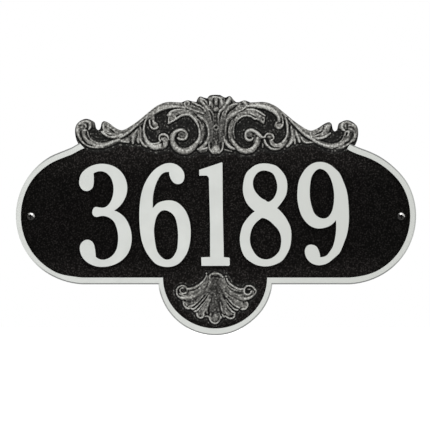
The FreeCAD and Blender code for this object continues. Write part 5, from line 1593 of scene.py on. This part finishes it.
shellEdge = mirroredOutline(catmullRom(shellOutline, 3), shellAxis)[:-1]
shellParts = bothHalves(
    (shellBody, shellGrooves),
    (shellRight, shellRightGrooves),
    shellMiddle,
    shellShared + shellTurned,
    shellAxis,
)
shell = carvedPiece("shell_carving", shellEdge, *shellParts)
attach(shell, "root")


def shiftShoulder(column, row):
    # the border's right shoulder lies further in, and its left end rises to the crest
    away = abs(column - drawing["axisColumn"])
    side = "shoulderLeft" if column < drawing["axisColumn"] else "shoulderRight"
    inner = unevenCasting[side] + 1.2 * max(row - 150, 0)
    share = eased((away - inner) / 5) * eased((unevenCasting["shoulderRow"] - row) / 30)
    if column > drawing["axisColumn"]:
        lift = unevenCasting["rightEndLift"] * math.exp(-(((away - 134) / 8) ** 2))
        return column + unevenCasting["rightShoulder"] * share, row + lift * eased((165 - row) / 8)
    lift = unevenCasting["leftEndLift"] * eased((column - 71) / 9)
    sag = unevenCasting["leftSag"] * math.exp(-(((column - 62) / 8) ** 2))
    return column, row + share * (lift + sag)


def thinBorder(column, row):
    # the border's inner edge lies further out round the two ends, most at the left
    side = 1 if column > drawing["axisColumn"] else -1
    away = abs(column - drawing["axisColumn"])
    if side < 0:
        amount = unevenCasting["thinLeft"] * (1 - 0.65 * eased((185 - row) / 25))
    else:
        amount = unevenCasting["thinRight"] * (1 - 0.4 * eased((200 - row) / 25))
    outward = np.array((away - unevenCasting["endCentre"], row - drawing["axisRow"]))
    outward *= amount * eased((away - 140) / 20) / np.linalg.norm(outward)
    return column + side * outward[0], row + outward[1]


lobe = {
    "column": 215.4,
    "row": 277.8,
    "innerFrom": 40.0,
    "outerFrom": 54.0,
    "thinLeft": 1.7,
    "thinRight": 1.0,
    "drawnIn": -0.9,
    "cutRadius": 49.3,
    "cutFrom": 283.0,
}


def trimLobe(column, row):
    # the lower lobe's rim is thinner at its shoulders, and drawn in at the lower right
    across, low = column - lobe["column"], row - lobe["row"]
    radius = math.hypot(across, low)
    lean = across / max(radius, 1)
    if radius > lobe["outerFrom"]:
        moved = lobe["drawnIn"] * math.exp(-(((lean - 0.6) / 0.28) ** 2)) * eased(low / 10)
    else:
        moved = abs(lean) ** 3 * eased((radius - lobe["innerFrom"]) / 8)
        moved *= lobe["thinLeft"] if lean < 0 else lobe["thinRight"]
    return column + moved * lean, row + moved * low / max(radius, 1)


def reshaped(vertices, change):
    for vertex in vertices:
        column, row = change(toColumn(vertex.co.x), toRow(vertex.co.z))
        vertex.co.x, vertex.co.z = toX(column), toZ(row)


def castingChange(column, row):
    # the plate moves with the crest above the crest's ends, and with the border below
    if row < crestTopLeft[0][0][1]:
        return droopRight(column, row)
    return shiftShoulder(column, row)


# the numerals are not quite even: column, row, reach across and down, then the move in pixels
numeralTrim = {
    "three": [(91, 209, 3, 5, 0.7, 0), (77.5, 178, 3, 6, 0.4, 0), (83, 240, 5, 4, 0.3, 0.4)],
    "six": [
        (139.5, 212, 4, 28, 0.6, 0), (157, 166, 7, 5, 0.25, 0.35), (156, 263, 8, 4, -0.4, 0.5),
        (191, 236, 4, 20, -0.6, 0), (184, 259, 5, 5, -0.3, -0.3), (157, 250, 3, 9, -0.5, 0.2),
        (155, 224, 3, 7, 0.5, 0), (176, 249, 3, 6, 0.5, 0.1), (165, 200, 9, 3, 0, 0.6),
        (153, 204, 3, 4, 0.4, 0.5), (172, 161.5, 9, 3, 0, -0.3), (185, 170, 3, 6, 0.3, 0),
        (172, 180, 4, 6, 0.5, -0.2), (178, 184, 5, 2, 0, -0.3),
    ],
    "one": [
        (209, 222, 3, 40, 0.6, 0), (224, 236, 3, 25, -0.6, 0), (223, 185, 3, 20, -0.3, 0),
        (201, 261, 2.5, 4, 0.5, 0), (231, 261, 2.5, 4, -0.7, 0), (227, 257, 6, 2, 0, 0.4),
        (217, 266, 14, 2, 0, -0.3), (208, 166, 10, 4, 0, -0.8), (199, 172, 2, 4, 0.4, 0),
        (204, 176, 5, 2, 0, -0.3), (208.5, 184, 3, 6, -0.4, 0),
    ],
    "eight": [
        (243, 179, 3, 9, 0.6, 0), (249, 168, 5, 4, 0.3, 0.3), (278, 165, 6, 4, 0.5, -0.6),
        (288, 187, 3, 9, -0.6, 0), (273, 174, 4, 5, 0.5, -0.5), (254, 185, 3, 9, -0.4, 0.1),
        (267, 201, 3, 3, 0.2, -1.0), (251, 210, 5, 5, 0, -0.5), (287, 220, 6, 10, -0.7, 0.5),
        (292, 238, 3, 9, -0.6, 0), (243, 254, 6, 8, -0.8, 0.6), (255, 263, 6, 3, 0, 0.3),
        (282, 261, 6, 4, 0.4, 0.5), (261, 218, 4, 3, 0, 1.1), (275, 226, 5, 5, -0.4, 0.4),
        (251, 243, 3, 9, -0.5, 0.1), (278, 250, 3, 4, 0.4, 0.1), (240, 232, 3, 7, 0.5, 0),
        (248, 258, 5, 4, -0.4, 0.5), (283, 212, 5, 4, -0.3, 0.3),
    ],
    "nine": [
        (302, 174, 4, 6, 0.4, 0.2), (296.5, 190, 3, 9, 0.4, 0), (310.5, 198, 3, 12, -0.45, 0),
        (314, 212, 3, 4, -0.4, 0.3), (343, 182, 4, 9, -0.5, 0.3), (349, 207, 3, 14, -0.7, 0),
        (340, 251, 6, 8, 0.8, 0.6), (326, 255, 5, 3, 0.2, 0.7), (311, 244, 6, 3, 0, 0.5),
        (323, 228, 8, 3, 0, -0.6), (334, 235, 3, 9, -0.5, 0),
        (339, 254, 6, 5, 0.3, 0.4), (348, 239, 3, 6, 0.4, 0.1), (336, 168, 4, 4, -0.3, 0.2),
    ],
}


def trimNumerals(column, row):
    right = down = 0.0
    for places in numeralTrim.values():
        for atColumn, atRow, across, low, byColumn, byRow in places:
            share = math.exp(-(((column - atColumn) / across) ** 2) - ((row - atRow) / low) ** 2)
            right += share * byColumn
            down += share * byRow
    return column + right, row + down


def prism(name, outline, frontY, backY):
    shape = bmesh.new()
    corners = [shape.verts.new((toX(c), frontY, toZ(r))) for c, r in outline]
    shape.faces.new(corners)
    made = bmesh.ops.extrude_face_region(shape, geom=shape.faces[:])["geom"]
    for item in made:
        if isinstance(item, bmesh.types.BMVert):
            item.co.y = backY
    bmesh.ops.recalc_face_normals(shape, faces=shape.faces)
    mesh = bpy.data.meshes.new(name)
    shape.to_mesh(mesh)
    shape.free()
    return bpy.data.objects.new(name, mesh)


crestCut = [
    (216.0, 160.5), (195.0, 160.0), (178.0, 159.5), (172.0, 156.0), (160.0, 157.0),
    (150.0, 155.5), (137.0, 149.4), (119.0, 149.0), (112.0, 152.6), (100.0, 154.4), (92.0, 153.0),
    (87.5, 151.6), (84.3, 149.6), (79.0, 143.4), (60.0, 143.0), (60.0, 80.0),
]


def makeCasting():
    shape = bmesh.new()
    shape.from_mesh(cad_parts["plaque"].data)
    bmesh.ops.remove_doubles(shape, verts=shape.verts, dist=1e-6)
    mesh = bpy.data.meshes.new("plaque_casting")
    shape.to_mesh(mesh)
    shape.free()
    if "custom_normal" in mesh.attributes:
        mesh.attributes.remove(mesh.attributes["custom_normal"])
    casting = bpy.data.objects.new("plaque_casting", mesh)
    bpy.context.scene.collection.objects.link(casting)
    cutY = drawing["fieldY"] - 0.00001
    half, axis = np.array(crestCut), drawing["axisColumn"]
    whole = np.vstack([half, np.column_stack([2 * axis - half[::-1, 0], half[::-1, 1]])[:-1]])
    turns = np.radians(np.arange(0, 360, 5))
    circle = lobe["cutRadius"] * np.column_stack([np.cos(turns), np.sin(turns)])
    lobeRound = circle + (lobe["column"], lobe["row"])
    lobeRound = lobeRound[lobeRound[:, 1] > lobe["cutFrom"]]
    low = np.vstack([lobeRound, [(168.0, 278.0), (172.0, 269.4), (259.0, 269.4), (263.0, 278.0)]])
    # the CAD plate behind the crest is trimmed to the crest's own edge
    along = np.roll(crestTop, -1, axis=0) - np.roll(crestTop, 1, axis=0)
    along[0], along[-1] = crestTop[1] - crestTop[0], crestTop[-1] - crestTop[-2]
    inward = np.column_stack([-along[:, 1], along[:, 0]]) / np.linalg.norm(along, axis=1)[:, None]
    edge = crestTop + 0.12 * inward
    over = np.vstack([edge, [(380.0, 143.6), (380.0, 80.0), (52.0, 80.0), (52.0, 143.6)]])
    cuts = {
        "crestCutter": (whole, cutY, -0.03),
        "shellCutter": (low, cutY, -0.03),
        "edgeCutter": (over, 0.01, -0.03),
    }
    for cutName, (outline, nearY, farY) in cuts.items():
        cutter = prism(cutName, outline, nearY, farY)
        bpy.context.scene.collection.objects.link(cutter)
        cut = casting.modifiers.new(cutName, "BOOLEAN")
        cut.operation = "DIFFERENCE"
        cut.solver = "EXACT"
        cut.object = cutter
        with bpy.context.temp_override(object=casting, active_object=casting):
            bpy.ops.object.modifier_apply(modifier=cut.name)
        bpy.data.objects.remove(cutter)
    return casting


castingFaces = {
    "close": 0.00005,
    "chamferDeep": 0.00135,
    "flat": 0.9,
    "slanted": 0.4,
    "upright": 0.3,
    "sharpAngle": 32,
    "endsFrom": 140,
    "lobeWidth": 60,
    "lobeAbove": -1.5,
    "numeralColumns": (74, 356),
    "numeralRows": (158.5, 270),
}


def paintCasting(mesh):
    # black field, silver on the border's and digits' tops and chamfers, dark back
    mesh.materials.clear()
    for paint in (blackPaint, silver, castBack):
        mesh.materials.append(paint)
    close, flat = castingFaces["close"], castingFaces["flat"]
    for polygon in mesh.polygons:
        depth, facing = polygon.center.y, polygon.normal.y
        onTop = depth < drawing["borderY"] + close and facing < -flat
        onSlope = depth < drawing["borderY"] + castingFaces["chamferDeep"]
        chamfer = onSlope and -flat < facing < -castingFaces["slanted"]
        polygon.material_index = 1 if onTop or chamfer else 0
        if depth > drawing["fieldY"] + 2 * close:
            polygon.material_index = 2
        polygon.use_smooth = True
    mesh.set_sharp_from_angle(angle=math.radians(castingFaces["sharpAngle"]))


def bendCasting(mesh):
    # the border's inner wall first, then the whole, the lobe's rim and the numerals
    raised = drawing["fieldY"] + 2 * castingFaces["close"]
    innerWall = set()
    for polygon in mesh.polygons:
        column = abs(polygon.center.x) / drawing["pitch"]
        upright = abs(polygon.normal.y) < castingFaces["upright"]
        if upright and polygon.center.y < drawing["fieldY"] and column > castingFaces["endsFrom"]:
            innerWall.update(polygon.vertices)
    walls = [mesh.vertices[index] for index in sorted(innerWall)]
    reshaped([vertex for vertex in walls if vertex.co.y <= raised], thinBorder)
    reshaped(mesh.vertices, castingChange)
    lobeRim = []
    for vertex in mesh.vertices:
        across = toColumn(vertex.co.x) - lobe["column"]
        low = toRow(vertex.co.z) - lobe["row"]
        outer = math.hypot(across, low) > lobe["outerFrom"]
        onLobe = low > castingFaces["lobeAbove"] and abs(across) < castingFaces["lobeWidth"]
        if onLobe and (outer or vertex.co.y < raised):
            lobeRim.append(vertex)
    reshaped(lobeRim, trimLobe)
    left, right = (toX(column) for column in castingFaces["numeralColumns"])
    top, foot = (toZ(row) for row in castingFaces["numeralRows"])
    inFront = drawing["fieldY"] + castingFaces["close"]
    numerals = [
        vertex
        for vertex in mesh.vertices
        if vertex.co.y < inFront and left < vertex.co.x < right and foot < vertex.co.z < top
    ]
    reshaped(numerals, trimNumerals)


casting = makeCasting()
paintCasting(casting.data)
bendCasting(casting.data)
reshaped(crest.data.vertices, droopRight)
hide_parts("plaque")
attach(casting, "root")
print("casting faces", len(casting.data.polygons))

for name in ("screw_left", "screw_right"):
    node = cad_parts[name]
    node.data.materials.clear()
    node.data.materials.append(screwMetal)


def seenDirectly(tree):
    # 1 for camera, glossy and transmission rays
    rays = addNode(tree, "ShaderNodeLightPath", (-700, 200)).outputs
    seen = rays["Is Camera Ray"]
    for kind in ("Is Glossy Ray", "Is Transmission Ray"):
        seen = addMath(tree, (-450, 200), "MAXIMUM", seen, rays[kind])
    return seen


stage = {"floorZ": -0.30, "keyPower": 12.5, "fillPower": 3.2, "worldLight": 0.55}

floorShape = bmesh.new()
bmesh.ops.create_grid(floorShape, x_segments=1, y_segments=1, size=4)
for vertex in floorShape.verts:
    vertex.co.z = stage["floorZ"]
floorMesh = bpy.data.meshes.new("floor")
floorShape.to_mesh(floorMesh)
floorShape.free()
floor = bpy.data.objects.new("floor", floorMesh)
bpy.context.scene.collection.objects.link(floor)
floorPaint, floorTree, floorShader = newMaterial("paleFloor")
floorShader.inputs["Base Color"].default_value = (0.85, 0.85, 0.85, 1)
floorShader.inputs["Roughness"].default_value = 0.9
floorTree.links.new(seenDirectly(floorTree), floorShader.inputs["Emission Strength"])
floorShader.inputs["Emission Color"].default_value = (0.8, 0.8, 0.8, 1)
floorMesh.materials.append(floorPaint)

world = bpy.data.worlds.new("studio")
bpy.context.scene.world = world
world.use_nodes = True
worldTree = world.node_tree
worldTree.nodes.clear()
strength = addNode(worldTree, "ShaderNodeMapRange", (-200, 200))
strength.inputs["To Min"].default_value = stage["worldLight"]
strength.inputs["To Max"].default_value = 1.0
worldTree.links.new(seenDirectly(worldTree), strength.inputs["Value"])
backdrop = addNode(worldTree, "ShaderNodeBackground", (50, 0))
backdrop.inputs["Color"].default_value = (1, 1, 1, 1)
worldTree.links.new(strength.outputs["Result"], backdrop.inputs["Strength"])
worldOut = addNode(worldTree, "ShaderNodeOutputWorld", (300, 0))
worldTree.links.new(backdrop.outputs["Background"], worldOut.inputs["Surface"])


def areaLamp(name, place, target, width, power):
    lamp = bpy.data.lights.new(name, "AREA")
    lamp.shape = "DISK"
    lamp.size = width
    lamp.energy = power
    light = bpy.data.objects.new(name, lamp)
    light.location = place
    light.rotation_euler = (Vector(target) - Vector(place)).to_track_quat("-Z", "Y").to_euler()
    bpy.context.scene.collection.objects.link(light)


areaLamp("keyLamp", (0.2, -0.85, 1.3), (0, 0, 0), 0.8, stage["keyPower"])
areaLamp("fillLamp", (-1.3, -0.9, 0.2), (0, 0, 0), 0.9, stage["fillPower"])

view = {"lens": 200.0, "sensor": 36.0, "pixels": 430, "middle": (215.0, 215.0)}
frameWidth = view["pixels"] * drawing["pitch"]
distance = frameWidth * view["lens"] / view["sensor"]
eye = bpy.data.cameras.new("photoView")
eye.lens = view["lens"]
eye.sensor_width = view["sensor"]
camera = bpy.data.objects.new("photoView", eye)
camera.location = (toX(view["middle"][0]), drawing["borderY"] - distance, toZ(view["middle"][1]))
camera.rotation_euler = (math.radians(90), 0, 0)
bpy.context.scene.collection.objects.link(camera)
bpy.context.scene.camera = camera
bpy.context.scene.view_settings.view_transform = "Standard"

print("scene ready")
